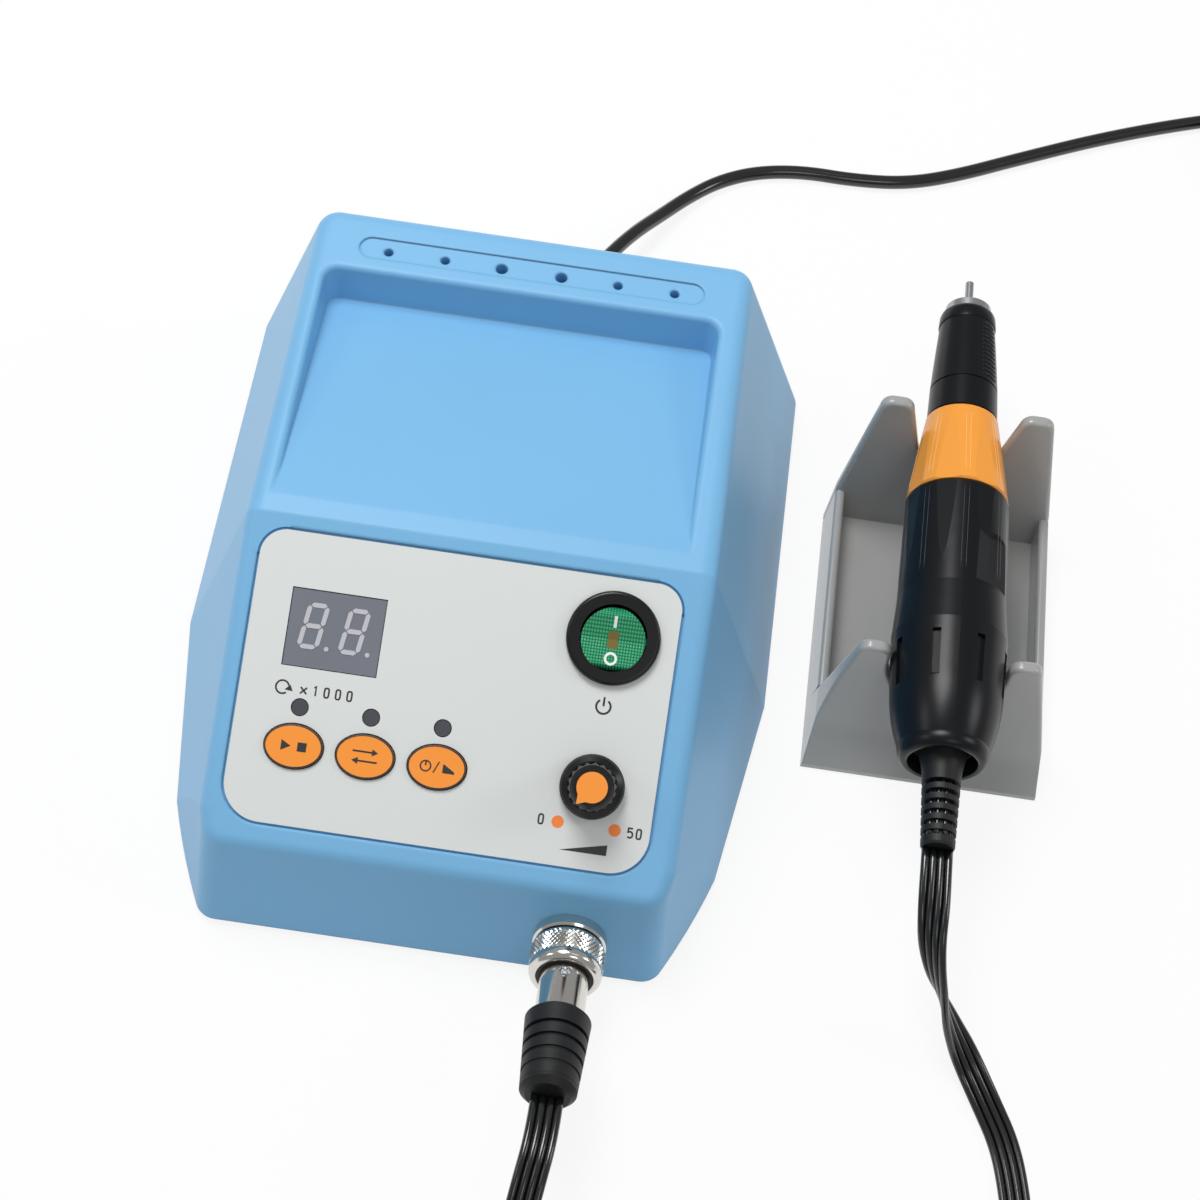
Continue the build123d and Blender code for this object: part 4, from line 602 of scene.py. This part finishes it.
nickel = plated_metal("nickel_plated_brass", "#D8D6D0", 0.14, 0.8, 0.001)
ground_steel = plated_metal("ground_steel", "#B9BBBD", 0.28, 0.25, 0.003)
zinc_plate = plated_metal("zinc_plated_steel", "#A8ABAE", 0.38, 0.5, 0.004)
core_steel = plated_metal("laminated_steel", "#5A5C5F", 0.45, 0.5, 0.01)
brass = plated_metal("bright_brass", "#D9B36A", 0.25, 0.4, 0.003)
dress(nickel, "panel_socket", "plug_ring", "plug_barrel", "socket_nut")
dress(ground_steel, "bur_shank", "nose_cap", "collet", "spindle", "front_bearing", "rear_bearing")
dress(zinc_plate, "base_screws", "board_screws", "speed_pot", "pot_nut", "pot_shaft")
dress(core_steel, "transformer_core", "motor_can", "rotor", "brushes")
dress(brass, "switch_terminals", "plug_pins", "socket_contacts", "commutator")

# %% [markdown]
# ## The handpiece's finishes
#
# The body, the sleeve and the end bell are anodised aluminium, dyed black. Anodising leaves the fine
# matt of the metal under a hard clear layer, so they are dark with a soft broad sheen. The collar is the
# same metal dyed orange, a little glossier.

# %% Materials: anodised aluminium
black_anodised = grained_plastic("black_anodised_aluminium", "#0C0E12", 0.30, 0.3, 0.006,
                                 tone=0.08, gloss=0.24)
orange_anodised = grained_plastic("orange_anodised_aluminium", "#F5A03C", 0.30, 0.35, 0.006,
                                  coat=0.15, gloss=0.4)
dress(black_anodised, "hand_body", "end_bell", "hand_sleeve")
dress(orange_anodised, "hand_collar")

# %% [markdown]
# ## Rubber, PVC and the pieces inside
#
# The feet, the boot on the connector and the sleeve behind the handpiece are black rubber. The cords are
# glossy black PVC. The circuit board and the transformer's tape are inside, and they get plain finishes
# of their own so that the model is whole when it is taken apart.

# %% Materials: rubber, PVC, board, tape
black_rubber = grained_plastic("black_rubber", "#151618", 0.5, 0.5, 0.015, tone=0.12, gloss=0.35)
black_pvc = grained_plastic("glossy_black_pvc", "#0E0F11", 0.20, 1.5, 0.006, tone=0.15, coat=0.4)
green_board = grained_plastic("green_solder_mask", "#1F5A34", 0.30, 1.0, 0.006, tone=0.10)
amber_tape = grained_plastic("amber_winding_tape", "#A9762B", 0.35, 1.2, 0.02, tone=0.10)
dress(black_rubber, "feet", "plug_boot", "hand_relief", "mains_bush")
dress(green_board, "control_board")
dress(amber_tape, "transformer_winding", "switch_lamp")
for cord_piece in (motor_cord, mains_cord):
    cord_piece.data.materials.append(black_pvc)

# %% [markdown]
# ## Thin solid marks
#
# Ink on the real label is a layer some hundredths of a millimetre thick. It could be an image, but a thin
# solid of its own stays sharp at any distance. Two shapes are enough for every mark: a filled outline,
# and a line of even width between two rails. At a sharp bend the rails stand further off, up to a limit.

# %% Helpers for printed marks
BEND_LIMIT = 0.6


def stroke(points, width, closed=False):
    """The left and the right rail of a line of even width through flat points."""
    count = len(points)
    left, right = [], []
    for index in range(count):
        here = Vector(points[index])
        before = Vector(points[(index - 1) % count]) if closed or index > 0 else None
        after = Vector(points[(index + 1) % count]) if closed or index < count - 1 else None
        arriving = (here - before).normalized() if before else (after - here).normalized()
        leaving = (after - here).normalized() if after else arriving
        along = (arriving + leaving).normalized()
        side = Vector((-along.y, along.x)) * width / 2 / max(along.dot(leaving), BEND_LIMIT)
        left.append(tuple(here + side))
        right.append(tuple(here - side))
    return left, right, closed


def oval(u, v, width, height, squareness=1.0, steps=28):
    """A closed outline; a squareness below 1 fills the corners of its box."""
    points = []
    for step in range(steps):
        across, up = math.cos(2 * math.pi * step / steps), math.sin(2 * math.pi * step / steps)
        points.append((u + width / 2 * math.copysign(abs(across) ** squareness, across),
                       v + height / 2 * math.copysign(abs(up) ** squareness, up)))
    return points


def marks(name, place, low, high, fills=(), strokes=()):
    """One object of flat marks; place(u, v, height in mm) gives a point in metres."""
    vertices, faces = [], []
    for loop in fills:
        faces += tube_faces(len(vertices), 2, len(loop))
        vertices += [place(u, v, height) for height in (low, high) for u, v in loop]
    for left, right, closed in strokes:
        faces += tube_faces(len(vertices), len(left), 4, closed)
        for a, b in zip(left, right):
            vertices += [place(*a, low), place(*b, low), place(*b, high), place(*a, high)]
    return mesh_object(name, vertices, faces, smooth=False)


def finish_piece(piece, material, body):
    """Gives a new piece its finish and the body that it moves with."""
    piece.data.materials.append(material)
    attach(piece, body)
    print(piece.name, "has", len(piece.data.polygons), "faces and rides on", body)


# %% [markdown]
# ## Marks on the label
#
# The label carries plain numbers and signs in dark ink: a zero and a fifty at the ends of the speed scale,
# each beside an orange dot, a power sign under the switch, a rising wedge under the knob, and a turning
# arrow with a factor under the display. Digits are strokes of even width, as if drawn with a stencil pen.

# %% Digits and small shapes
INK_LINE = 0.42
DIGIT_HEIGHT, DIGIT_WIDTH = 2.7, 1.5


def on_label(u, v, height):
    return on_panel(u, v, height * MM)


def zero(u, v):
    outline = oval(u, v, DIGIT_WIDTH - INK_LINE, DIGIT_HEIGHT - INK_LINE, squareness=0.55)
    return stroke(outline, INK_LINE, closed=True)


def shape_at(u, v, size, points):
    """The points of a shape, scaled and moved to u and v."""
    return [(u + size * x, v + size * y) for x, y in points]


def five(u, v):
    return stroke(shape_at(u, v, DIGIT_HEIGHT - INK_LINE, [
        (0.24, 0.5), (-0.22, 0.5), (-0.24, 0.08), (-0.05, 0.15), (0.13, 0.12), (0.24, -0.02), (0.26, -0.2),
        (0.22, -0.38), (0.08, -0.49), (-0.1, -0.49), (-0.25, -0.4)]), INK_LINE)


def one(u, v):
    points = [(-0.16, 0.34), (0.02, 0.5), (0.02, -0.5)]
    return stroke(shape_at(u, v, DIGIT_HEIGHT - INK_LINE, points), INK_LINE)


def cross_loop(u, v, reach, width):
    """A times sign."""
    half = width / 2
    square = [(reach, -half), (reach, half), (half, half), (half, reach), (-half, reach), (-half, half),
              (-reach, half), (-reach, -half), (-half, -half), (-half, -reach), (half, -reach), (half, -half)]
    return shape_at(u, v, math.sqrt(0.5), [(x - y, x + y) for x, y in square])


def arc(u, v, radius, start, end, steps=20):
    """Flat points along an arc, angles in degrees from +u."""
    angles = [math.radians(start + (end - start) * k / steps) for k in range(steps + 1)]
    return [(u + radius * math.cos(a), v + radius * math.sin(a)) for a in angles]


# %% [markdown]
# The ink lies on the film and reaches a little way into it, so no gap shows under a mark.

# %% Numbers, signs and dots on the label
INK_LOW, INK_HIGH = -0.26, -0.165
SIGN_LINE, DOT_WIDTH = 0.5, 3.0
FACTOR_V = 38.7

printed_ink = grained_plastic("dark_screen_ink", "#2B2D30", 0.45, 0.2, 0.004, tone=0.05)
orange_ink = grained_plastic("orange_screen_ink", "#FF8A3C", 0.45, 0.2, 0.004, tone=0.02)
label_signs = marks(
    "label_signs", on_label, INK_LOW, INK_HIGH,
    fills=[
        cross_loop(-37.3, FACTOR_V - 0.2, 1.1, INK_LINE),
        [(29.4, 9.7), (40.8, 9.7), (40.8, 12.3)],
        [(-40.6, FACTOR_V + 0.75), (-41.9, FACTOR_V - 0.55), (-39.9, FACTOR_V - 0.75)],
    ],
    strokes=[
        zero(24.0, 16.3), five(45.8, 16.0), zero(47.9, 16.0),
        one(-34.4, FACTOR_V), *[zero(u, FACTOR_V) for u in (-31.7, -28.9, -26.1)],
        stroke(arc(-42.5, FACTOR_V, 1.6, 15, 310), INK_LINE),
        stroke(arc(35.0, 45.2, 1.75, 125, 415), SIGN_LINE),
        stroke([(35.0, 45.3), (35.0, 47.5)], SIGN_LINE),
    ],
)
finish_piece(label_signs, printed_ink, "root")
scale_dots = marks("scale_dots", on_label, INK_LOW, INK_HIGH, fills=[
    oval(u, v, DOT_WIDTH, DOT_WIDTH) for u, v in ((28.1, 16.2), (42.0, 16.1))])
finish_piece(scale_dots, orange_ink, "root")

# %% [markdown]
# ## The upper corners of the label's pocket
#
# The label and its pocket have round upper corners. Each corner of the pocket is closed by a small flush
# piece of the same blue plastic. A step beside it goes on with the narrow groove round the label, and its
# darker blue is painted shade, the shade of that groove.

# %% Round corners of the label's pocket
POCKET_SIDES, POCKET_TOP, POCKET_ROUND, POCKET_GROOVE = (-53.62, 51.22), 77.32, 7.1, 0.6
POCKET_LAP = 1.3
CORNER_LOW, CORNER_HIGH = -0.9, 0.02
STEP_LOW, STEP_HIGH = -0.6, -0.185
corner_fills, corner_grooves = [], []
for side, edge in zip((-1, 1), POCKET_SIDES):
    centre_u, centre_v = edge - side * POCKET_ROUND, POCKET_TOP - POCKET_ROUND
    outer, inner = [arc(centre_u, centre_v, radius, 90 - side * 90, 90, steps=10)
                    for radius in (POCKET_ROUND, POCKET_ROUND - POCKET_GROOVE)]
    far_u, far_v = edge + side * POCKET_LAP, POCKET_TOP + POCKET_LAP
    corner_fills.append([(far_u, centre_v), (far_u, far_v), (centre_u, far_v), *outer[::-1]])
    corner_grooves.append((inner, outer, False))
blue_flat = grained_plastic("moulded_blue_abs_flat", "#79B6E1", 0.40, 0.4, 0.02, gloss=0.32)
pocket_corners = marks("pocket_corners", on_label, CORNER_LOW, CORNER_HIGH, fills=corner_fills)
finish_piece(pocket_corners, blue_flat, "root")
# The step's darker blue is painted shade, the shade of the groove round the label.
painted_groove_shade = grained_plastic("blue_painted_groove_shade", "#3F74A3", 0.5, 0.4, 0.01, gloss=0.2)
pocket_steps = marks("pocket_steps", on_label, STEP_LOW, STEP_HIGH, strokes=corner_grooves)
finish_piece(pocket_steps, painted_groove_shade, "root")

# %% [markdown]
# ## Marks on the keys
#
# Each key has a black band round its edge and a sign on it: start and stop, two opposed arrows for the
# direction, and a knob and a pedal for hand or foot control. Both move with the key.

# %% Key rims and key signs
KEY_U = (-37.6, -20.15, -2.64)
KEY_V = 24.9
KEY_LENGTH, KEY_WIDTH = 14.3, 10.7
KEY_SIGN_LOW, KEY_SIGN_HIGH = 0.64, 0.735
RIM_PROFILE = [
    (0.02, -0.3), (0.02, 0.37), (-0.07, 0.62), (-0.3, 0.73), (-0.42, 0.73), (-0.42, 0.5), (-0.2, 0.2)]
RIM_STEPS = 56


def key_rim(name, u):
    """A black band round the edge of a key, from a profile of (offset outwards, height) in mm."""
    loops = [oval(u, KEY_V, KEY_LENGTH + 2 * grow, KEY_WIDTH + 2 * grow, steps=RIM_STEPS)
             for grow, _ in RIM_PROFILE]
    vertices = [on_label(*loop[step], height)
                for step in range(RIM_STEPS) for loop, (_, height) in zip(loops, RIM_PROFILE)]
    return mesh_object(name, vertices, tube_faces(0, RIM_STEPS, len(RIM_PROFILE), closed=True))


for body, u in zip(("start_button", "direction_button", "hand_foot_button"), KEY_U):
    finish_piece(key_rim(body.replace("button", "rim"), u), printed_ink, body)


def arrow_loop(u, v, length, way):
    """A flat arrow that points to +u for a way of 1, and to -u for a way of -1."""
    half, shaft, head, wing = length / 2, 0.22, 1.5, 0.85
    loop = [(-half, -shaft), (half - head, -shaft), (half - head, -wing), (half, 0), (half - head, wing),
            (half - head, shaft), (-half, shaft)]
    return shape_at(u, v, way, loop)


def at_key(key, points):
    """Points given in mm from the middle of a key."""
    return shape_at(KEY_U[key], KEY_V, 1.0, points)


key_signs = {
    "start_button": dict(fills=[
        at_key(0, [(-3.0, -1.3), (-0.6, 0.0), (-3.0, 1.3)]),
        at_key(0, [(1.0, -1.1), (3.2, -1.1), (3.2, 1.1), (1.0, 1.1)])]),
    "direction_button": dict(fills=[
        arrow_loop(KEY_U[1], KEY_V + 1.15, 6.2, 1), arrow_loop(KEY_U[1], KEY_V - 1.15, 6.2, -1)]),
    "hand_foot_button": dict(
        fills=[at_key(2, [(1.5, -1.2), (4.4, -1.2), (4.4, -0.7), (1.8, 0.9), (1.5, 0.9)])],
        strokes=[stroke(oval(KEY_U[2] - 2.7, KEY_V, 2.5, 2.5), 0.36, closed=True),
                 stroke(at_key(2, [(-2.7, 0.1), (-2.7, 1.1)]), 0.4),
                 stroke(at_key(2, [(-0.7, -1.4), (0.5, 1.4)]), 0.32)]),
}
for body, shapes in key_signs.items():
    sign = marks(body.replace("button", "sign"), on_label, KEY_SIGN_LOW, KEY_SIGN_HIGH, **shapes)
    finish_piece(sign, printed_ink, body)

# %% [markdown]
# ## Marks on the rocker
#
# The rocker is a shallow V seen from the side. Its two ends are marked I and O in white, and the lamp under
# the lens shows as a brown rectangle across the middle. The marks lie on the two slopes, so their height
# follows the distance from the middle.

# %% I and O on the rocker, and the lamp behind it
ROCKER_REST = math.radians(7.0)
ROCKER_MIDDLE, ROCKER_SLOPE = 3.9, 0.2208
rocker_middle = Vector(joints["rocker_tilt"]["pos_m"])
rocker_up = panel_up.copy()
rocker_up.rotate(Quaternion(panel_right, ROCKER_REST))
rocker_normal = panel_normal.copy()
rocker_normal.rotate(Quaternion(panel_right, ROCKER_REST))


def on_rocker(across, along, height):
    """A point on the rocker's V, in mm from its middle; height is above the surface."""
    lift = ROCKER_MIDDLE + ROCKER_SLOPE * abs(along) + height
    return rocker_middle + (panel_right * across + rocker_up * along + rocker_normal * lift) * MM


white_ink = grained_plastic("white_pad_ink", "#EEF3EF", 0.4, 0.2, 0.004, tone=0.02)
lamp_glass = grained_plastic("amber_lamp_glass", "#7A6A2E", 0.25, 0.6, 0.01, tone=0.3, coat=0.5)
rocker_marks = marks("rocker_marks", on_rocker, -0.05, 0.06, strokes=[
    stroke([(0.0, 3.0), (0.0, 5.9)], 0.75),
    stroke(oval(0.0, -4.55, 2.6, 2.6), 0.6, closed=True),
])
finish_piece(rocker_marks, white_ink, "rocker")
lamp_window = marks("lamp_window", on_rocker, -0.06, 0.035, fills=[
    [(-1.3, 0.0), (1.3, 0.0), (1.3, 2.1), (-1.3, 2.1)], [(-1.3, -2.1), (1.3, -2.1), (1.3, 0.0), (-1.3, 0.0)]])
finish_piece(lamp_window, lamp_glass, "rocker")

# %% [markdown]
# ## Turned and knurled metal
#
# The coupling ring is knurled so that wet fingers can turn it: a wheel presses a pattern of small pyramids
# into the metal. On a grid round the ring, every second point is a peak, and each square is cut along the
# two points that are valleys, which gives true diamonds with few faces. A real knurl can be finer: this
# one is as coarse as it needs to be to show. The shader paints shade into the hollows between the pyramids,
# where real knurling lies in its own shade, and paints light on the crests, a tone above the plain nickel.

# %% Knurl of the connector's ring
plug_right = Vector((1, 0, 0))
plug_up = front_normal.cross(plug_right)


def round_plug(station, radius, angle):
    """A point round the connector's axis, in mm; the angle starts at the top."""
    outward = plug_right * math.sin(angle) + plug_up * math.cos(angle)
    return plug_middle + (front_normal * station + outward * radius) * MM


KNURL_START, KNURL_END = 4.1, 9.9
KNURL_PEAK, KNURL_VALLEY, KNURL_EDGE, KNURL_INSIDE = 9.2, 8.85, 8.83, 8.5
KNURL_ROUND, KNURL_ROWS = 96, 8
CREASE, CREST = 0.42, 0.56
vertices, faces = [], []
for row in range(-1, KNURL_ROWS + 2):
    station = KNURL_START + (KNURL_END - KNURL_START) * min(max(row, 0), KNURL_ROWS) / KNURL_ROWS
    for column in range(KNURL_ROUND):
        radius = KNURL_VALLEY if (row + column) % 2 else KNURL_PEAK
        if row in (0, KNURL_ROWS):
            radius = KNURL_EDGE
        elif row in (-1, KNURL_ROWS + 1):
            radius = KNURL_INSIDE
        vertices.append(round_plug(station, radius, 2 * math.pi * column / KNURL_ROUND))
knurl_loops = KNURL_ROWS + 3
for row in range(knurl_loops):
    for column in range(KNURL_ROUND):
        here, beside = row * KNURL_ROUND + column, row * KNURL_ROUND + (column + 1) % KNURL_ROUND
        over = (row + 1) % knurl_loops * KNURL_ROUND
        above, across = over + column, over + (column + 1) % KNURL_ROUND
        if (row - 1 + column) % 2:
            faces += [(here, beside, across), (here, across, above)]
        else:
            faces += [(here, beside, above), (beside, across, above)]
knurl_nickel = plated_metal("nickel_knurl_painted_shade", "#D8D6D0", 0.2, 0.8, 0.001)
knurl_shader = knurl_nickel.node_tree.nodes["Principled BSDF"]
# The colour below is painted shade in the hollows between the pyramids and painted light on the crests,
# picked out by how pointed the surface is.
knurl_where = add_node(knurl_nickel, "ShaderNodeNewGeometry")
knurl_lit_share = add_node(knurl_nickel, "ShaderNodeMapRange",
                       {"Value": knurl_where.outputs["Pointiness"], "From Min": CREASE, "From Max": CREST})
knurl_painted_shade = add_node(knurl_nickel, "ShaderNodeMix", {
    "Factor": knurl_lit_share.outputs["Result"], "A": linear("#3C3B3A"), "B": linear("#E4E2DC")},
    data_type="RGBA")
link(knurl_nickel, knurl_painted_shade.outputs["Result"], knurl_shader.inputs["Base Color"])
knurled_ring = mesh_object("knurled_ring", vertices, faces, smooth=False)
finish_piece(knurled_ring, knurl_nickel, "coupling_ring")

# %% [markdown]
# In front of the knurl the ring ends in a plain rounded band with a rubber gasket inside. Both are turned
# shapes, so they are profiles spun round the axis.

# %% Rounded band and gasket
SHARP_ANGLE = math.radians(35)


def spun(name, profile, place, segments=72):
    """A closed profile of (station, radius) spun round an axis, smooth except across sharp edges."""
    vertices = [place(station, radius, 2 * math.pi * k / segments)
                for k in range(segments) for station, radius in profile]
    made = mesh_object(name, vertices, tube_faces(0, segments, len(profile), closed=True))
    made.data.set_sharp_from_angle(angle=SHARP_ANGLE)
    return made


ring_band = spun("ring_band", [
    (9.85, 8.5), (9.95, 8.88), (10.3, 8.98), (10.9, 9.0), (11.5, 8.9), (12.0, 8.7), (12.45, 8.36),
    (12.75, 7.9), (12.83, 7.5), (12.75, 7.15), (12.5, 6.95), (12.2, 7.0), (12.0, 7.9)], round_plug)
finish_piece(ring_band, nickel, "coupling_ring")
ring_gasket = spun("ring_gasket", [(12.3, 6.12), (12.6, 6.12), (12.6, 7.1), (12.3, 7.1)], round_plug)
finish_piece(ring_gasket, black_rubber, "coupling_ring")

# %% [markdown]
# A small domed screw with a cross slot holds the barrel. Its dome is drawn ring by ring, and the points
# near the two arms of the slot are sunk.

# %% Screw on the barrel
BARREL_RADIUS = 6.0
SCREW_STATION, SCREW_RADIUS, SCREW_DOME, SCREW_SKIRT = 15.0, 1.45, 0.75, 0.6
SCREW_RINGS, SCREW_SIDES, FIRST_ANGLE, DOME_POWER = 7, 40, 0.5, 2.6
SLOT_DEPTH, SLOT_HALF, SLOT_SHARE = 0.35, 0.26, 0.75
SLOT_X, SLOT_Y = 0.8, 0.6
vertices = [round_plug(SCREW_STATION, BARREL_RADIUS + SCREW_DOME - SLOT_DEPTH, 0)]
for ring in range(1, SCREW_RINGS + 1):
    share = ring / SCREW_RINGS
    for side in range(SCREW_SIDES):
        turn = 2 * math.pi * side / SCREW_SIDES + FIRST_ANGLE
        across, along = SCREW_RADIUS * share * math.cos(turn), SCREW_RADIUS * share * math.sin(turn)
        from_slot = min(abs(across * SLOT_X + along * SLOT_Y), abs(along * SLOT_X - across * SLOT_Y))
        sunk = SLOT_DEPTH if from_slot < SLOT_HALF and share < SLOT_SHARE else 0.0
        lift = BARREL_RADIUS + SCREW_DOME * math.sqrt(max(1 - share ** DOME_POWER, 0)) - sunk
        vertices.append(plug_middle + (front_normal * (SCREW_STATION + along) + plug_right * across
                                       + plug_up * lift) * MM)
vertices += [v - plug_up * SCREW_SKIRT * MM for v in vertices[-SCREW_SIDES:]]
faces = tube_faces(1, SCREW_RINGS + 1, SCREW_SIDES)
# a fan round the middle of the dome stands in for the first end face
faces[-2:-1] = [(0, 1 + side, 1 + (side + 1) % SCREW_SIDES) for side in range(SCREW_SIDES)]
barrel_screw = mesh_object("barrel_screw", vertices, faces)
finish_piece(barrel_screw, zinc_plate, "root")

# %% [markdown]
# ## Fine lines on the handpiece
#
# The black body and the orange collar each have eight pairs of fine engraved lines between their flats.
# In the real metal the lines are cut. Here each line is a bead a few hundredths of a millimetre high,
# which catches light in the same thin streak and leaves the solid underneath alone. The beads are lighter
# tones of the black and the orange, a painted highlight along each line.

# %% Lines on body and collar
HAND_PROFILE = [
    (101.0, 14.1), (132.0, 13.65), (159.0, 9.7), (168.9, 9.2), (176.0, 8.75), (183.0, 8.25), (190.2, 7.68)]
BEAD_PROFILE = [(-0.5, -0.8), (-0.3, 0.55), (0.0, 1.0), (0.3, 0.55), (0.5, -0.8)]
BEAD_END = 0.25


def hand_radius(station):
    """The radius of the handpiece between the bell and the nose, in mm."""
    for (low, low_radius), (high, high_radius) in zip(HAND_PROFILE, HAND_PROFILE[1:]):
        if station <= high:
            return low_radius + (high_radius - low_radius) * (station - low) / (high - low)
    return HAND_PROFILE[-1][1]


def round_hand(station, radius, angle):
    """A point round the handpiece's axis, in mm; the angle starts at the top and turns to +X."""
    return hand_middle + Vector((math.sin(angle) * radius, station, math.cos(angle) * radius)) * MM


def beads(name, lines, width, height):
    """Low rounded beads along lines of (station, angle) on the handpiece, thin at both ends."""
    vertices, faces = [], []
    for line in lines:
        faces += tube_faces(len(vertices), len(line), len(BEAD_PROFILE))
        middles = [round_hand(station, hand_radius(station), angle) for station, angle in line]
        last = len(line) - 1
        for index, (_, angle) in enumerate(line):
            thin = BEAD_END if index in (0, last) else 1.0
            outward = Vector((math.sin(angle), 0, math.cos(angle)))
            side = (middles[min(index + 1, last)] - middles[max(index - 1, 0)]).cross(outward).normalized()
            for x, y in BEAD_PROFILE:
                lift = height * y * (thin if y > 0 else 1.0)
                vertices.append(middles[index] + (side * width * x * thin + outward * lift) * MM)
    return mesh_object(name, vertices, faces)


def pair_lines(start, end, spread, pairs=8, steps=10):
    """Pairs of lines along the axis, spread mm apart, on the ridges between the flats."""
    stations = [start + (end - start) * step / steps for step in range(steps + 1)]
    return [[(station, 2 * math.pi * pair / pairs + side * spread / hand_radius(station))
             for station in stations] for pair in range(pairs) for side in (-0.5, 0.5)]


# Lighter copies of the black and the orange finishes: painted highlight along the beads.
black_line_highlight = grained_plastic("black_anodised_painted_highlight", "#3A3D42", 0.3, 0.3, 0.004,
                                      tone=0.05, coat=0.3)
orange_line_highlight = grained_plastic("orange_anodised_painted_highlight", "#FFC27A", 0.3, 0.3, 0.004,
                                       tone=0.05, coat=0.3)
body_lines = beads("body_lines", pair_lines(104.5, 130.6, 1.3), width=0.2, height=0.05)
finish_piece(body_lines, black_line_highlight, "handpiece")
collar_lines = beads("collar_lines", pair_lines(134.5, 156.5, 1.2), width=0.22, height=0.05)
finish_piece(collar_lines, orange_line_highlight, "collar")

# %% [markdown]
# The grip sleeve is turned with a narrow groove behind and a lip in front, and the end bell has a rolled
# edge. Both are profiles spun round the handpiece's axis.

# %% Grip sleeve and rolled edge
sleeve = spun("grip_sleeve", [
    (126.0, 6.55), (126.0, 10.7), (129.0, 10.7), (129.0, 7.6), (159.0, 7.6), (159.0, 9.3), (159.2, 9.5),
    (168.35, 9.22), (168.45, 8.95), (168.8, 8.95), *HAND_PROFILE[3:], (190.35, 7.86), (190.8, 7.92),
    (193.6, 7.72), (194.5, 7.4), (195.0, 6.8), (195.0, 3.8), (155.0, 3.8), (155.0, 6.55)],
    round_hand, segments=96)
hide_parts("hand_sleeve")
finish_piece(sleeve, black_anodised, "handpiece")
end_ring = spun("end_ring", [
    (58.9, 11.0), (58.95, 11.45), (58.4, 11.55), (57.2, 11.35), (56.0, 10.9), (55.3, 10.2), (55.15, 9.5),
    (55.4, 8.85), (56.2, 8.7), (57.0, 9.5)], round_hand, segments=96)
finish_piece(end_ring, black_anodised, "handpiece")

# %% [markdown]
# Short ridges for the fingertip run part of the way round the sleeve. They are beads too, only higher.

# %% Ridges on the sleeve
RIDGES, RIDGE_FIRST, RIDGE_PITCH = 13, 170.6, 1.5
RIDGE_FROM, RIDGE_TO = 22, 60
ridge_angles = [math.radians(RIDGE_FROM + (RIDGE_TO - RIDGE_FROM) * step / 10) for step in range(11)]
ridge_lines = [[(RIDGE_FIRST + ridge * RIDGE_PITCH, angle) for angle in ridge_angles]
               for ridge in range(RIDGES)]
sleeve_ridges = beads("sleeve_ridges", ridge_lines, width=0.75, height=0.24)
finish_piece(sleeve_ridges, black_anodised, "handpiece")

# %% [markdown]
# ## Strands in the sleeve behind the handpiece
#
# The rubber sleeve is cut into a cage, so that it bends easily, and the wires of the cord show between its
# ribs. Ten thin glossy strands lie in the cuts.

# %% Strands seen through the sleeve's cuts
CAGE_START, CAGE_END, CAGE_RADIUS = 33.8, 49.6, 3.1
CAGE_WIRES, CAGE_WIRE_RADIUS = 10, 0.72 * MM
vertices, faces = [], []
for wire in range(CAGE_WIRES):
    angle = 2 * math.pi * (wire + 0.5) / CAGE_WIRES
    wire_frames = [(round_hand(CAGE_START + (CAGE_END - CAGE_START) * k / 4, CAGE_RADIUS, angle),
                    Vector((1, 0, 0)), Vector((0, 0, 1))) for k in range(5)]
    more_vertices, more_faces = sweep(wire_frames, [0.0], CAGE_WIRE_RADIUS, STRAND_SIDES)
    faces += [tuple(index + len(vertices) for index in face) for face in more_faces]
    vertices += more_vertices
cage_strands = mesh_object("cage_strands", vertices, faces)
finish_piece(cage_strands, black_pvc, "handpiece")
